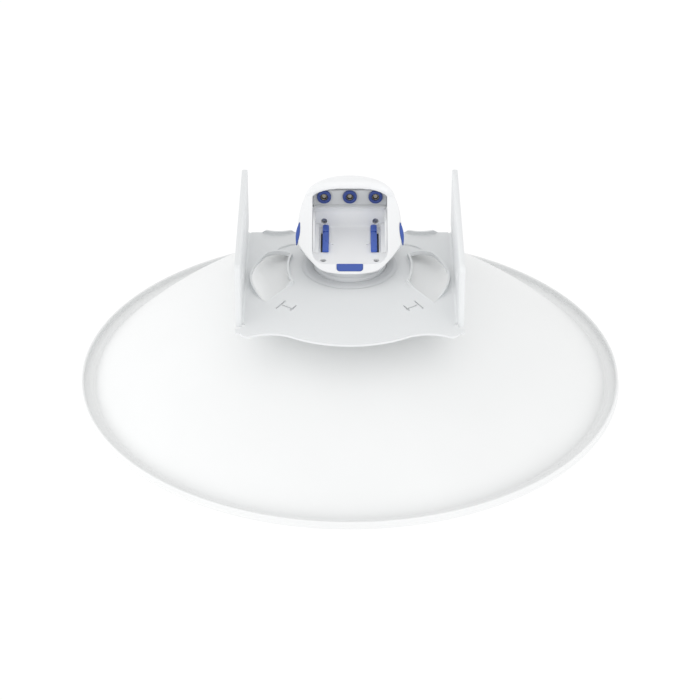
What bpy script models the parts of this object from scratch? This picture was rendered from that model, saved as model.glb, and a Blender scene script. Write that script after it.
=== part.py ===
"""Dish antenna for a point-to-point radio link: pressed reflector, pole bracket, radio housing and feed.

Everything is laid out in the antenna's own axes, in millimetres: x to the right, y up and z backwards
along the boresight from the rim. The empty antenna_axis turns that to the world, where the boresight is
+Y and up is +Z, with the origin on the flat back face of the mounting bracket. Run it with
blender --background --python part.py.
"""

import math

import bmesh
import bpy
from mathutils import Matrix

MM = 0.001
GAP = 0.3  # clearance left between pieces that touch

RIM_RADIUS = 325.0
RIM_DEPTH = 7.0  # height of the turned-back edge
RIM_HEM = 4.0  # width of that edge, which is folded double
FLANGE_INNER_RADIUS = 313.0
BOWL_RADIUS = 309.0
BOWL_VERTEX = 143.5  # height of the paraboloid's back face on the axis
BOWL_CURVE = 0.00159  # drop per millimetre squared of radius
SHEET = 2.0  # reflector thickness
HUB_FLAT_RADIUS = 52.0
FEED_HOLE_RADIUS = 22.0

PLATE_BACK = 142.0
PLATE = 2.5  # bracket sheet
PLATE_REAR = 82.0
PLATE_HALF_WIDTH = 124.2
AXIS_HEIGHT = 120.0  # the origin lies this far below the axis, on the bracket's back face

EAR_INSIDE = 122.7
EAR_FRONT = -139.3
EAR_REAR = 100.3
EAR_TOP = 218.4
EAR_FLANGE_REACH = 129.4
BOLT_HOLE_RADIUS = 4.5
PIVOT = (-98.0, 184.0)
SLOT_RADIUS = 112.0
SLOT_HALF_ANGLE = 10.0

CUTOUT_FLANGE_TOP = 146.5

HOUSING_BOTTOM = 155.0
SLOPE_START = (-50.0, 159.0)  # (y, z) of the front lip, where the slope of the housing's open side begins
SLOPE_RISE = 0.625  # rise of that slope per millimetre of y
HOOD_FRONT = 46.2  # front edge of the hood over the ports, in the middle
HOOD_SIDE = 38.0  # and at the pocket's sides
HOOD_CURVE = 2.6  # exponent of the curve between them
POCKET_HALF_WIDTH = 44.0
POCKET_FLOOR = 165.0
POCKET_FRONT = -38.0
POCKET_REAR = 53.0
POCKET_CORNER = 15.0

PORT_PITCH = 30.4
PORT_HEIGHT = 207.7
PANEL_FRONT = 49.0
PANEL_LOW = 197.0
SEAL_RADIUS = 8.7
SEAL_HOLE = 4.6
SEAL_THICKNESS = 3.2
SOCKET_RADIUS = 4.2

NECK_RADIUS = 43.0
FEED_TUBE_RADIUS = 20.0
FEED_HEAD_RADIUS = 37.0
FEED_HEAD_BACK = 18.0
FEED_HEAD_FRONT = -20.0

for old in list(bpy.data.objects):
    bpy.data.objects.remove(old, do_unlink=True)

parts = bpy.data.collections.new("Dish antenna")
cutters = bpy.data.collections.new("Cutters")
bpy.context.scene.collection.children.link(parts)
bpy.context.scene.collection.children.link(cutters)
cutters.hide_render = True

axis = bpy.data.objects.new("antenna_axis", None)
axis.location = (0, PLATE_BACK * MM, AXIS_HEIGHT * MM)
axis.rotation_euler = (math.radians(90), 0, 0)
parts.objects.link(axis)


def material(name, colour, roughness, metallic=0.0):
    made = bpy.data.materials.new(name)
    made.use_nodes = True
    shader = made.node_tree.nodes["Principled BSDF"]
    shader.inputs["Base Color"].default_value = (*colour, 1)
    shader.inputs["Roughness"].default_value = roughness
    shader.inputs["Metallic"].default_value = metallic
    return made


def add(name, mesh, finish=None, cutter=False):
    """Puts a mesh in the scene under the antenna's axis, as a part or as a cutter."""
    made = bpy.data.objects.new(name, mesh)
    made.parent = axis
    if cutter:
        cutters.objects.link(made)
        made.hide_render = True
        made.display_type = "WIRE"
    else:
        parts.objects.link(made)
        mesh.materials.append(material(name + "_finish", *finish))
    return made


def smooth(obj):
    obj.data.shade_smooth()
    obj.data.set_sharp_from_angle(angle=math.radians(35))


def box(name, low, high, finish=None, cutter=False):
    mesh = bpy.data.meshes.new(name)
    shape = bmesh.new()
    bmesh.ops.create_cube(shape, size=1)
    for v in shape.verts:
        v.co = [MM * (a + (b - a) * (c + 0.5)) for a, b, c in zip(low, high, v.co)]
    shape.to_mesh(mesh)
    shape.free()
    return add(name, mesh, finish, cutter)


def bar(name, start, end, width, low, high, finish=None, cutter=False):
    """A straight bar seen from above, from start to end, between two heights."""
    length = math.dist(start, end) + width
    made = box(name, (-length / 2, -width / 2, low), (length / 2, width / 2, high), finish, cutter)
    turn = math.atan2(end[1] - start[1], end[0] - start[0])
    made.rotation_euler = (0, 0, turn)
    made.location = (MM * (start[0] + end[0]) / 2, MM * (start[1] + end[1]) / 2, 0)
    return made


def turned(name, profile, steps, finish=None, cutter=False, closed=False):
    """A turned shape about z. The profile of (radius, height) runs down its outer side, top to bottom."""
    mesh = bpy.data.meshes.new(name)
    count = len(profile)
    edges = [(i, i + 1) for i in range(count - 1)]
    if closed:
        edges.append((count - 1, 0))
    mesh.from_pydata([(MM * r, 0, MM * z) for r, z in profile], edges, [])
    made = add(name, mesh, finish, cutter)
    screw = made.modifiers.new("Turn", "SCREW")
    screw.axis = "Z"
    screw.angle = math.tau
    screw.steps = steps
    screw.render_steps = steps
    screw.use_merge_vertices = True
    screw.merge_threshold = 0.00001
    screw.use_smooth_shade = True
    return made


def ring_profile(inner, outer, low, high):
    return [(inner, high), (outer, high), (outer, low), (inner, low)]


def slab(name, outlines, low, high, finish=None, cutter=False, across=None):
    """A flat outline, with any holes in it, made solid between two heights.

    With across given, the outline is of (y, z) points and the heights are x values, or for "y" the outline
    is of (x, z) points and the heights are y values.
    """
    curve = bpy.data.curves.new(name, "CURVE")
    curve.dimensions = "2D"
    curve.fill_mode = "BOTH"
    curve.extrude = MM * (high - low) / 2
    for outline in outlines:
        spline = curve.splines.new("POLY")
        spline.points.add(len(outline) - 1)
        for point, (a, b) in zip(spline.points, outline):
            point.co = (MM * a, MM * b, 0, 1)
        spline.use_cyclic_u = True
    holder = bpy.data.objects.new(name + "_outline", curve)
    bpy.context.scene.collection.objects.link(holder)
    bpy.context.view_layer.update()
    graph = bpy.context.evaluated_depsgraph_get()
    mesh = bpy.data.meshes.new_from_object(holder.evaluated_get(graph))
    bpy.data.objects.remove(holder)
    shape = bmesh.new()
    shape.from_mesh(mesh)
    bmesh.ops.remove_doubles(shape, verts=shape.verts, dist=0.000001)
    lift = Matrix.Translation((0, 0, MM * (high + low) / 2))
    if across == "x":
        # (a, b, c) becomes (c, a, b)
        lift = Matrix(((0, 0, 1, 0), (1, 0, 0, 0), (0, 1, 0, 0), (0, 0, 0, 1))) @ lift
    if across == "y":
        # (a, b, c) becomes (a, -c, b), so the heights are turned over
        lift = Matrix(((1, 0, 0, 0), (0, 0, -1, MM * (high + low)), (0, 1, 0, 0), (0, 0, 0, 1))) @ lift
    bmesh.ops.transform(shape, matrix=lift, verts=shape.verts)
    bmesh.ops.recalc_face_normals(shape, faces=shape.faces)
    shape.to_mesh(mesh)
    shape.free()
    mesh.name = name
    mesh.materials.clear()
    return add(name, mesh, finish, cutter)


def combine(target, other, operation="DIFFERENCE"):
    change = target.modifiers.new(operation.title() + " " + other.name, "BOOLEAN")
    change.operation = operation
    change.object = other
    change.solver = "EXACT"


def arc(start, middle, end, count):
    """Points on the circle through three points, from the first to just before the last."""
    (ax, ay), (bx, by), (cx, cy) = start, middle, end
    d = 2 * (ax * (by - cy) + bx * (cy - ay) + cx * (ay - by))
    squares = (ax * ax + ay * ay, bx * bx + by * by, cx * cx + cy * cy)
    ux = (squares[0] * (by - cy) + squares[1] * (cy - ay) + squares[2] * (ay - by)) / d
    uy = (squares[0] * (cx - bx) + squares[1] * (ax - cx) + squares[2] * (bx - ax)) / d
    radius = math.dist((ux, uy), start)
    first = math.atan2(ay - uy, ax - ux)
    half = (math.atan2(by - uy, bx - ux) - first) % math.tau
    sweep = (math.atan2(cy - uy, cx - ux) - first) % math.tau
    if half > sweep:
        sweep -= math.tau
    angles = [first + sweep * i / count for i in range(count)]
    return [(ux + radius * math.cos(a), uy + radius * math.sin(a)) for a in angles]


def rounded_rectangle(low, high, radii, count=6):
    """Corners of a rectangle, anticlockwise from the lower left, each with its own radius."""
    (x0, y0), (x1, y1) = low, high
    centres = (
        (x0 + radii[0], y0 + radii[0], 180),
        (x1 - radii[1], y0 + radii[1], 270),
        (x1 - radii[2], y1 - radii[2], 0),
        (x0 + radii[3], y1 - radii[3], 90),
    )
    points = []
    for (cx, cy, start), radius in zip(centres, radii):
        if radius == 0:
            points.append((cx, cy))
            continue
        for i in range(count + 1):
            a = math.radians(start + 90 * i / count)
            points.append((cx + radius * math.cos(a), cy + radius * math.sin(a)))
    return points


def mirrored(points):
    return [(-x, y) for x, y in reversed(points)]


def offset(points, distance):
    """The closed outline moved outwards by distance. The outline runs anticlockwise."""
    moved = []
    count = len(points)
    for i in range(count):
        (ax, ay), (bx, by), (cx, cy) = points[i - 1], points[i], points[(i + 1) % count]
        before = math.atan2(by - ay, bx - ax)
        after = math.atan2(cy - by, cx - bx)
        turn = (after - before + math.pi) % math.tau - math.pi
        reach = distance / max(math.cos(turn / 2), 0.5)
        normal = before + turn / 2 - math.pi / 2
        moved.append((bx + reach * math.cos(normal), by + reach * math.sin(normal)))
    return moved


def strip(points, width):
    """The outline of a band of the given width along an open line of points."""
    left, right = [], []
    for i, (x, y) in enumerate(points):
        (ax, ay), (bx, by) = points[max(i - 1, 0)], points[min(i + 1, len(points) - 1)]
        length = math.dist((ax, ay), (bx, by))
        nx, ny = (ay - by) / length, (bx - ax) / length
        left.append((x + nx * width / 2, y + ny * width / 2))
        right.append((x - nx * width / 2, y - ny * width / 2))
    return right + left[::-1]


def polar(centre, radius, degrees):
    a = math.radians(degrees)
    return (centre[0] + radius * math.cos(a), centre[1] + radius * math.sin(a))


def circle(centre, radius, count):
    return [polar(centre, radius, 360 * i / count) for i in range(count)]


WHITE_PAINT = ((0.86, 0.86, 0.86), 0.42)
WHITE_PLASTIC = ((0.84, 0.84, 0.85), 0.38)
BLUE_RUBBER = ((0.05, 0.09, 0.30), 0.5)
BLUE_PLASTIC = ((0.06, 0.10, 0.34), 0.4)
BRASS = ((0.55, 0.46, 0.28), 0.3, 1.0)
STEEL = ((0.6, 0.6, 0.6), 0.35, 1.0)
INSULATOR = ((0.7, 0.69, 0.66), 0.5)

# Reflector: one pressed bowl with a flat rim flange and a turned-back double edge.


def bowl_back(radius):
    return BOWL_VERTEX - BOWL_CURVE * radius * radius


def bowl_profile():
    """The section of the reflector, out along the back and in along the front."""
    hub = bowl_back(HUB_FLAT_RADIUS)
    radii = [HUB_FLAT_RADIUS + (BOWL_RADIUS - HUB_FLAT_RADIUS) * i / 14 for i in range(15)]
    flange = -RIM_DEPTH
    back = [(FEED_HOLE_RADIUS, hub)]
    back += [(r, bowl_back(r)) for r in radii]
    back += [(FLANGE_INNER_RADIUS, flange), (RIM_RADIUS - RIM_HEM, flange), (RIM_RADIUS - RIM_HEM, -0.8)]
    back += [(RIM_RADIUS - RIM_HEM + 0.8, 0), (RIM_RADIUS - 0.8, 0), (RIM_RADIUS, -0.8)]
    back += [(RIM_RADIUS, flange - SHEET)]
    front = [(FLANGE_INNER_RADIUS, flange - SHEET)]
    for r in reversed(radii):
        slope = math.atan(2 * BOWL_CURVE * r)
        front.append((r - SHEET * math.sin(slope), bowl_back(r) - SHEET * math.cos(slope)))
    front.append((FEED_HOLE_RADIUS, hub - SHEET))
    return back + front


reflector = turned("reflector", bowl_profile(), 72, WHITE_PAINT, closed=True)

# Mounting bracket: one pressed sheet with two bent ears and raised edges round its cut-outs and notches.

FRONT_MIDDLE = (0.0, -181.0)
FRONT_BULGE_END = (60.0, -166.0)
FRONT_DIP = (FRONT_BULGE_END, (87.0, -156.5), (114.0, -163.0))
FRONT_CORNER = ((114.0, -163.0), (121.5, -160.0), (PLATE_HALF_WIDTH, -153.0))
NOTCH = ((107.0, PLATE_REAR), (86.0, 75.5), (65.0, PLATE_REAR))
CUTOUT_TIP = (96.5, -86.0)
BEAD = ((87.0, 38.0), (77.5, 46.5), (63.0, 52.0))
SLIT_BARS = (
    ((75.0, -83.5), (84.0, -99.5)),
    ((62.0, -94.5), (68.0, -104.0)),
    ((79.0, -91.5), (65.5, -101.5)),
)
SLIT_WIDTH = 2.2
EDGE_WALL = 2.0
CORNER_TAB = (-151.0, -142.0)
CORNER_TAB_REACH = 129.6
PRESSED_IN = 1.2  # how far each raised edge runs down into the sheet

right_edge = [FRONT_MIDDLE]
right_edge += arc(FRONT_MIDDLE, (31.0, -177.2), FRONT_BULGE_END, 8)[1:]
right_edge += arc(*FRONT_DIP, 7)
right_edge += arc(*FRONT_CORNER, 4)
right_edge += [FRONT_CORNER[2], (PLATE_HALF_WIDTH, PLATE_REAR)]
right_edge += arc(*NOTCH, 8) + [NOTCH[2]]
plate_outline = right_edge + [(-x, y) for x, y in reversed(right_edge[1:])]

cutout = arc((70.0, 21.0), (73.0, 5.0), (73.0, -12.0), 4)
cutout += arc((73.0, -12.0), (71.6, -27.0), (67.6, -42.0), 4)
cutout += [(67.6, -42.0), CUTOUT_TIP]
cutout += arc((102.0, -79.5), (112.5, -54.0), (115.6, -25.0), 6)
cutout += arc((115.6, -25.0), (110.0, 0.0), (99.0, 22.5), 6)
cutout += arc((99.0, 22.5), (86.0, 28.6), (70.0, 21.0), 6)

mounting_bracket = slab(
    "mounting_bracket",
    [plate_outline, circle((0, 0), FEED_HOLE_RADIUS, 48), cutout, mirrored(cutout)],
    PLATE_BACK - PLATE,
    PLATE_BACK,
    WHITE_PAINT,
)

EAR_LOW = PLATE_BACK - PLATE + 0.4
EAR_STEP = (PLATE_REAR - 1.0, PLATE_BACK + 1.0)  # behind the sheet the ear's lower edge steps up
ear_outline = [(EAR_FRONT, EAR_LOW), (EAR_STEP[0], EAR_LOW), EAR_STEP]
ear_outline += rounded_rectangle(
    (EAR_FRONT, EAR_STEP[1]), (EAR_REAR, EAR_TOP), (0, 4.0, 3.0, 0), 4
)[1:]


def arc_slot(centre, radius, half_angle, half_width):
    """A slot with round ends, bent round the given centre."""
    swings = [half_angle * (i / 3 - 1) for i in range(7)]
    end_turns = range(30, 180, 30)
    points = [polar(centre, radius + half_width, swing) for swing in swings]
    high_end, low_end = polar(centre, radius, half_angle), polar(centre, radius, -half_angle)
    points += [polar(high_end, half_width, half_angle + turn) for turn in end_turns]
    points += [polar(centre, radius - half_width, swing) for swing in reversed(swings)]
    points += [polar(low_end, half_width, 180 - half_angle + turn) for turn in end_turns]
    return points


for side, word in ((-1, "left"), (1, "right")):
    inside, outside = side * EAR_INSIDE, side * (EAR_INSIDE + PLATE)
    ear = slab("ear_" + word, [ear_outline], *sorted((inside, outside)), cutter=True, across="x")
    reach = sorted((outside - side, side * EAR_FLANGE_REACH))
    top_flange = box(
        "ear_top_flange_" + word,
        (reach[0], EAR_FRONT + 0.2, EAR_TOP - PLATE),
        (reach[1], EAR_REAR - 1.5, EAR_TOP - 0.1),
        cutter=True,
    )
    front_flange = box(
        "ear_front_flange_" + word,
        (reach[0] + 0.1, EAR_FRONT + 0.1, PLATE_BACK - 1.0),
        (reach[1] - 0.1, EAR_FRONT + PLATE, EAR_TOP - 0.3),
        cutter=True,
    )
    shape = cutout if side > 0 else mirrored(cutout)
    raised_edge = slab(
        "cutout_edge_" + word,
        [offset(shape, EDGE_WALL - 0.4), offset(shape, -0.4)],
        PLATE_BACK - PRESSED_IN,
        CUTOUT_FLANGE_TOP,
        cutter=True,
    )
    fade = slab(
        "cutout_edge_fade_" + word,
        [[(-52.0, CUTOUT_FLANGE_TOP + 0.6), (-93.0, PLATE_BACK - 0.4), (-98.0, CUTOUT_FLANGE_TOP + 5)]],
        *sorted((side * 55.0, side * 120.0)),
        cutter=True,
        across="x",
    )
    combine(raised_edge, fade)
    notch_lip = slab(
        "notch_lip_" + word,
        [strip([(side * x, y) for x, y in arc(*NOTCH, 8) + [NOTCH[2]]], EDGE_WALL)],
        PLATE_BACK - PRESSED_IN,
        CUTOUT_FLANGE_TOP,
        cutter=True,
    )
    bead = slab(
        "bead_" + word,
        [strip([(side * x, y) for x, y in arc(*BEAD, 6) + [BEAD[2]]], EDGE_WALL)],
        PLATE_BACK - PRESSED_IN,
        PLATE_BACK + 1.6,
        cutter=True,
    )
    corner_tab = box(
        "corner_tab_" + word,
        (min(side * 118.0, side * CORNER_TAB_REACH), CORNER_TAB[0], PLATE_BACK - PLATE + 0.2),
        (max(side * 118.0, side * CORNER_TAB_REACH), CORNER_TAB[1], PLATE_BACK - 0.2),
        cutter=True,
    )
    for added in (ear, top_flange, front_flange, corner_tab, raised_edge, notch_lip, bead):
        combine(mounting_bracket, added, "UNION")
    through = sorted((side * (EAR_INSIDE - 3), side * (EAR_FLANGE_REACH + 3)))
    hole_outlines = {"pivot": circle(PIVOT, BOLT_HOLE_RADIUS, 16)}
    hole_outlines["slot"] = arc_slot(PIVOT, SLOT_RADIUS, SLOT_HALF_ANGLE, BOLT_HOLE_RADIUS)
    for hole, outline in hole_outlines.items():
        punch = slab(f"ear_{hole}_{word}", [outline], *through, cutter=True, across="x")
        combine(mounting_bracket, punch)
    for i, (start, end) in enumerate(SLIT_BARS):
        ends = [(side * x, y) for x, y in (start, end)]
        slit = bar(f"slit_{word}_{i + 1}", *ends, SLIT_WIDTH, PLATE_BACK - 5, PLATE_BACK + 5, cutter=True)
        combine(mounting_bracket, slit)

# Mount between the bracket and the radio housing.

RING_RADIUS, RING_HEIGHT = 56.0, 1.5
ring_section = ring_profile(NECK_RADIUS + GAP, RING_RADIUS, PLATE_BACK + GAP, PLATE_BACK + RING_HEIGHT)
mount_ring = turned("mount_ring", ring_section, 48, WHITE_PLASTIC, closed=True)
neck_profile = [
    (FEED_TUBE_RADIUS + GAP, HOUSING_BOTTOM - GAP),
    (NECK_RADIUS - 1.5, HOUSING_BOTTOM - GAP),
    (NECK_RADIUS - 1.5, PLATE_BACK + 6.0),
    (NECK_RADIUS, PLATE_BACK + 5.0),
    (NECK_RADIUS, PLATE_BACK + GAP),
    (FEED_TUBE_RADIUS + GAP, PLATE_BACK + GAP),
]
housing_neck = turned("housing_neck", neck_profile, 48, WHITE_PLASTIC, closed=True)

# Radio housing: a moulded block with an open slope, a hood over the ports and a pocket for the radio.

# Right half of its outline from the front lip to the rear, as arcs through three points each.
OUTLINE_ARCS = (
    ((0.0, -50.4), (14.0, -50.0), (27.5, -47.8), 3),
    ((27.5, -47.8), (36.5, -43.6), (43.5, -37.6), 3),
    ((43.5, -37.6), (53.0, -27.0), (61.0, -16.0), 4),
    ((61.0, -16.0), (61.2, -3.0), (60.3, 12.0), 3),
    ((60.3, 12.0), (57.6, 27.0), (51.5, 45.0), 4),
    ((51.5, 45.0), (41.5, 61.0), (24.0, 73.5), 4),
    ((24.0, 73.5), (12.0, 77.6), (0.0, 78.6), 3),
)
SHOULDER = 204.0  # the walls are upright up to here
CROWN = ((214.8, 0.985), (220.8, 0.952), (224.3, 0.905), (226.3, 0.82), (227.3, 0.68))
CROWN_CENTRE_Y = 12.0
FOOT_RADIUS = 4.0
ABOVE_SLOPE = 1.0  # the wall starts this far above the slope, which then cuts it


def slope_height(y):
    return SLOPE_START[1] + SLOPE_RISE * (y - SLOPE_START[0])


def ease(value, low, high):
    t = min(1.0, max(0.0, (value - low) / (high - low)))
    return t * t * (3 - 2 * t)


def housing_outline():
    right = []
    for start, middle, end, count in OUTLINE_ARCS:
        right += arc(start, middle, end, count)
    right.append(OUTLINE_ARCS[-1][2])
    return right + [(-x, y) for x, y in reversed(right[1:-1])]


def lean(x, y):
    """How far the wall runs inwards for each millimetre down: most under the front lip, none behind."""
    at_side = 0.25 * (1 - ease(y, 0, 12)) + 0.5 * ease(-y, 0, 25)
    return at_side + 0.95 * (1 - ease(abs(x), 15, 44)) * ease(-y, 20, 35)


def wall_ring(outline, depth):
    """The outline lowered by a share of the wall's height, from its top at 0 to its foot at 1."""
    points = []
    for i, (x, y) in enumerate(outline):
        (ax, ay), (bx, by) = outline[i - 1], outline[(i + 1) % len(outline)]
        length = math.dist((ax, ay), (bx, by))
        normal = ((by - ay) / length, (ax - bx) / length)
        top = min(slope_height(y) + ABOVE_SLOPE, SHOULDER)
        z = top - depth * (top - HOUSING_BOTTOM)
        inwards = lean(x, y) * (top - ABOVE_SLOPE - z)
        inwards += FOOT_RADIUS * ease(HOUSING_BOTTOM + FOOT_RADIUS - z, 0, FOOT_RADIUS) * ease(y, -20, 0)
        points.append((MM * (x - inwards * normal[0]), MM * (y - inwards * normal[1]), MM * z))
    return points


def crown_ring(outline, height, scale):
    back = CROWN_CENTRE_Y
    return [(MM * scale * x, MM * (back + scale * (y - back)), MM * height) for x, y in outline]


def loft(name, rings, finish):
    """A closed solid through rings of as many points each, from the lowest to the highest."""
    mesh = bpy.data.meshes.new(name)
    shape = bmesh.new()
    made = [[shape.verts.new(p) for p in ring] for ring in rings]
    for low, high in zip(made, made[1:]):
        for i in range(len(low)):
            j = (i + 1) % len(low)
            shape.faces.new((low[i], low[j], high[j], high[i]))
    shape.faces.new(reversed(made[0]))
    shape.faces.new(made[-1])
    shape.to_mesh(mesh)
    shape.free()
    return add(name, mesh, finish)


plan = housing_outline()
wall_rings = [wall_ring(plan, depth) for depth in (1.0, 0.96, 0.9, 0.6, 0.3, 0.0)]
crown_rings = [crown_ring(plan, SHOULDER + 1.0, 1.0)] + [crown_ring(plan, *level) for level in CROWN]
radio_housing = loft("radio_housing", wall_rings + crown_rings, WHITE_PLASTIC)


def hood_edge(x):
    """The y of the hood's front edge, which bows forward to the pocket's sides."""
    share = min(1.0, abs(x) / POCKET_HALF_WIDTH)
    return HOOD_FRONT - (HOOD_FRONT - HOOD_SIDE) * share**HOOD_CURVE


HOOD_STEPS = 14
hood_xs = [POCKET_HALF_WIDTH * (1 - 2 * i / HOOD_STEPS) for i in range(HOOD_STEPS + 1)]


def arch(inset, low):
    """The opening under the hood, as seen from the front: upright sides and an arched top."""
    share = 1 - inset / POCKET_HALF_WIDTH
    top = [(share * x, slope_height(hood_edge(x)) + 0.4 - inset) for x in hood_xs]
    return [(top[-1][0], low), (top[0][0], low)] + top


FAR = 80.0  # past the housing on every side
slope_angle = math.atan(SLOPE_RISE)
along = (math.cos(slope_angle), math.sin(slope_angle))
slope_cut = slab(
    "slope_cut",
    [[(-FAR, slope_height(-FAR)), (FAR, slope_height(FAR)), (FAR, 300.0), (-FAR, 300.0)]],
    -FAR - 5,
    FAR + 5,
    cutter=True,
    across="x",
)
before_plan = [(-FAR, -FAR - 9), (FAR, -FAR - 9), (FAR, HOOD_SIDE)]
before_plan += [(x, hood_edge(x)) for x in hood_xs] + [(-FAR, HOOD_SIDE)]
before_hood = slab("before_hood", [before_plan], 100.0, 290.0, cutter=True)
combine(slope_cut, before_hood, "INTERSECT")
pocket_plan = rounded_rectangle(
    (-POCKET_HALF_WIDTH, POCKET_FRONT),
    (POCKET_HALF_WIDTH, POCKET_REAR),
    (POCKET_CORNER, POCKET_CORNER, 0, 0),
)[:-2]
pocket_plan += [(x, hood_edge(x) - GAP) for x in hood_xs]
pocket_cut = slab("pocket_cut", [pocket_plan], POCKET_FLOOR, 280.0, cutter=True)
arch_shape = arch(0.1, POCKET_FLOOR)
arch_cut = slab("arch_cut", [arch_shape], HOOD_SIDE - 5, POCKET_REAR, cutter=True, across="y")
for cut in (slope_cut, pocket_cut, arch_cut):
    combine(radio_housing, cut)

# Port panel with its three sealed coaxial sockets, set back under the roof.

PANEL_BACK = POCKET_REAR - GAP
PORTS = (("left", -PORT_PITCH), ("centre", 0.0), ("right", PORT_PITCH))
panel_holes = [circle((x, PORT_HEIGHT), SOCKET_RADIUS + GAP, 20) for _, x in PORTS]
port_panel = slab(
    "port_panel", [arch(0.5, PANEL_LOW)] + panel_holes, PANEL_FRONT, PANEL_BACK, WHITE_PLASTIC, across="y"
)


def face_front(obj, x, y, z):
    """Turns a turned shape so that its top faces the front, with its base at the given place."""
    obj.rotation_euler = (math.radians(90), 0, 0)
    obj.location = (MM * x, MM * y, MM * z)


SOCKET_LENGTH = 8.2
BORE_RADIUS = 2.9
BORE_FLOOR = 3.0
PIN_RADIUS = 0.7
seal_section = ring_profile(SEAL_HOLE, SEAL_RADIUS, GAP, SEAL_THICKNESS + GAP)
for word, x in PORTS:
    seal = turned("port_seal_" + word, seal_section, 24, BLUE_RUBBER, closed=True)
    face_front(seal, x, PANEL_FRONT, PORT_HEIGHT)
    shell = [(0, BORE_FLOOR), (BORE_RADIUS, BORE_FLOOR), (BORE_RADIUS, SOCKET_LENGTH)]
    shell += [(SOCKET_RADIUS, SOCKET_LENGTH), (SOCKET_RADIUS, 0), (0, 0)]
    face_front(turned("coax_socket_" + word, shell, 20, BRASS), x, PANEL_BACK, PORT_HEIGHT)
    floor = BORE_FLOOR + GAP
    core = [(0, SOCKET_LENGTH - 1), (PIN_RADIUS, SOCKET_LENGTH - 1), (PIN_RADIUS, floor + 1.2)]
    core += [(BORE_RADIUS - GAP, floor + 1.2), (BORE_RADIUS - GAP, floor), (0, floor)]
    face_front(turned("socket_core_" + word, core, 12, INSULATOR), x, PANEL_BACK, PORT_HEIGHT)

# Clips, guides and screws of the pocket.

LATCH_INNER, LATCH_OUTER = 24.6, 34.5
LATCH_STEP = 2.8
LATCH_FRONT, LATCH_SHOULDER, LATCH_REAR = -12.0, 39.5, 52.0
LATCH_TOP = 168.6
latch_plan = [(LATCH_INNER, LATCH_FRONT), (LATCH_OUTER, LATCH_FRONT), (LATCH_OUTER, LATCH_SHOULDER)]
latch_plan += rounded_rectangle(
    (LATCH_INNER, LATCH_SHOULDER), (LATCH_OUTER - LATCH_STEP, LATCH_REAR), (0, 0, 2.8, 2.8), 4
)[1:-1]
GUIDE_SECTION = [
    (36.5, POCKET_FLOOR + GAP),
    (POCKET_HALF_WIDTH - GAP, POCKET_FLOOR + GAP),
    (POCKET_HALF_WIDTH - GAP, 179.0),
    (42.2, 179.0),
    (40.5, 171.0),
    (36.5, 170.0),
]
SCREW_HOLE_RADIUS = 3.6
SCREW_HOLE_DEPTH = 4.5
FLOOR_SCREW = (31.0, -28.5)  # (x, y) in the pocket's floor
WALL_SCREW = (30.6, 173.0)  # (x, z) in its rear wall
SCREW_RADIUS = SCREW_HOLE_RADIUS - GAP
SCREW_HEAD = [(0, 2.0), (2.3, 2.0), (SCREW_RADIUS, 1.2), (SCREW_RADIUS, 0), (0, 0)]
screw_hole = [(0, 5.0), (SCREW_HOLE_RADIUS, 5.0)]
screw_hole += [(SCREW_HOLE_RADIUS, -SCREW_HOLE_DEPTH), (0, -SCREW_HOLE_DEPTH)]
for side, word in ((-1, "left"), (1, "right")):
    plan = latch_plan if side > 0 else mirrored(latch_plan)
    slab("latch_" + word, [plan], POCKET_FLOOR + GAP, LATCH_TOP, BLUE_PLASTIC)
    section = GUIDE_SECTION if side > 0 else mirrored(GUIDE_SECTION)
    slab("guide_rail_" + word, [section], -11.0, POCKET_REAR - GAP, WHITE_PLASTIC, across="y")

    low_hole = turned("floor_screw_hole_" + word, screw_hole, 16, cutter=True)
    low_hole.location = (MM * side * FLOOR_SCREW[0], MM * FLOOR_SCREW[1], MM * POCKET_FLOOR)
    low_screw = turned("floor_screw_" + word, SCREW_HEAD, 16, STEEL)
    low_screw.location = low_hole.location
    low_screw.location.z -= MM * (SCREW_HOLE_DEPTH - GAP)
    wall_hole = turned("wall_screw_hole_" + word, screw_hole, 16, cutter=True)
    face_front(wall_hole, side * WALL_SCREW[0], POCKET_REAR, WALL_SCREW[1])
    wall_screw = turned("wall_screw_" + word, SCREW_HEAD, 16, STEEL)
    face_front(wall_screw, side * WALL_SCREW[0], POCKET_REAR + SCREW_HOLE_DEPTH - GAP, WALL_SCREW[1])
    combine(radio_housing, low_hole)
    combine(radio_housing, wall_hole)

# Release tab on the front lip and the two side tabs, let into recesses of the housing.


def on_slope(obj, distance):
    """Lays a flat shape on the slope, this far up from its front edge."""
    obj.rotation_euler = (slope_angle, 0, 0)
    obj.location = (
        0,
        MM * (SLOPE_START[0] + distance * along[0]),
        MM * (SLOPE_START[1] + distance * along[1]),
    )
    return obj


TAB_HALF_WIDTH = 15.7
TAB_LENGTH = 10.2
TAB_FROM_EDGE = 8.4
TAB_PROUD, TAB_SUNK = 0.6, 2.4


def lip_tab(name, grow, top, bottom, finish=None, cutter=False):
    plan = rounded_rectangle(
        (-TAB_HALF_WIDTH - grow, -TAB_LENGTH / 2 - grow),
        (TAB_HALF_WIDTH + grow, TAB_LENGTH / 2 + grow),
        (3.0, 3.0, 1.0, 1.0),
        4,
    )
    return on_slope(slab(name, [plan], bottom, top, finish, cutter), TAB_FROM_EDGE)


combine(radio_housing, lip_tab("release_tab_recess", GAP, 8.0, -TAB_SUNK - GAP, cutter=True))
lip_tab("release_tab", 0, TAB_PROUD, -TAB_SUNK, BLUE_PLASTIC)

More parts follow.
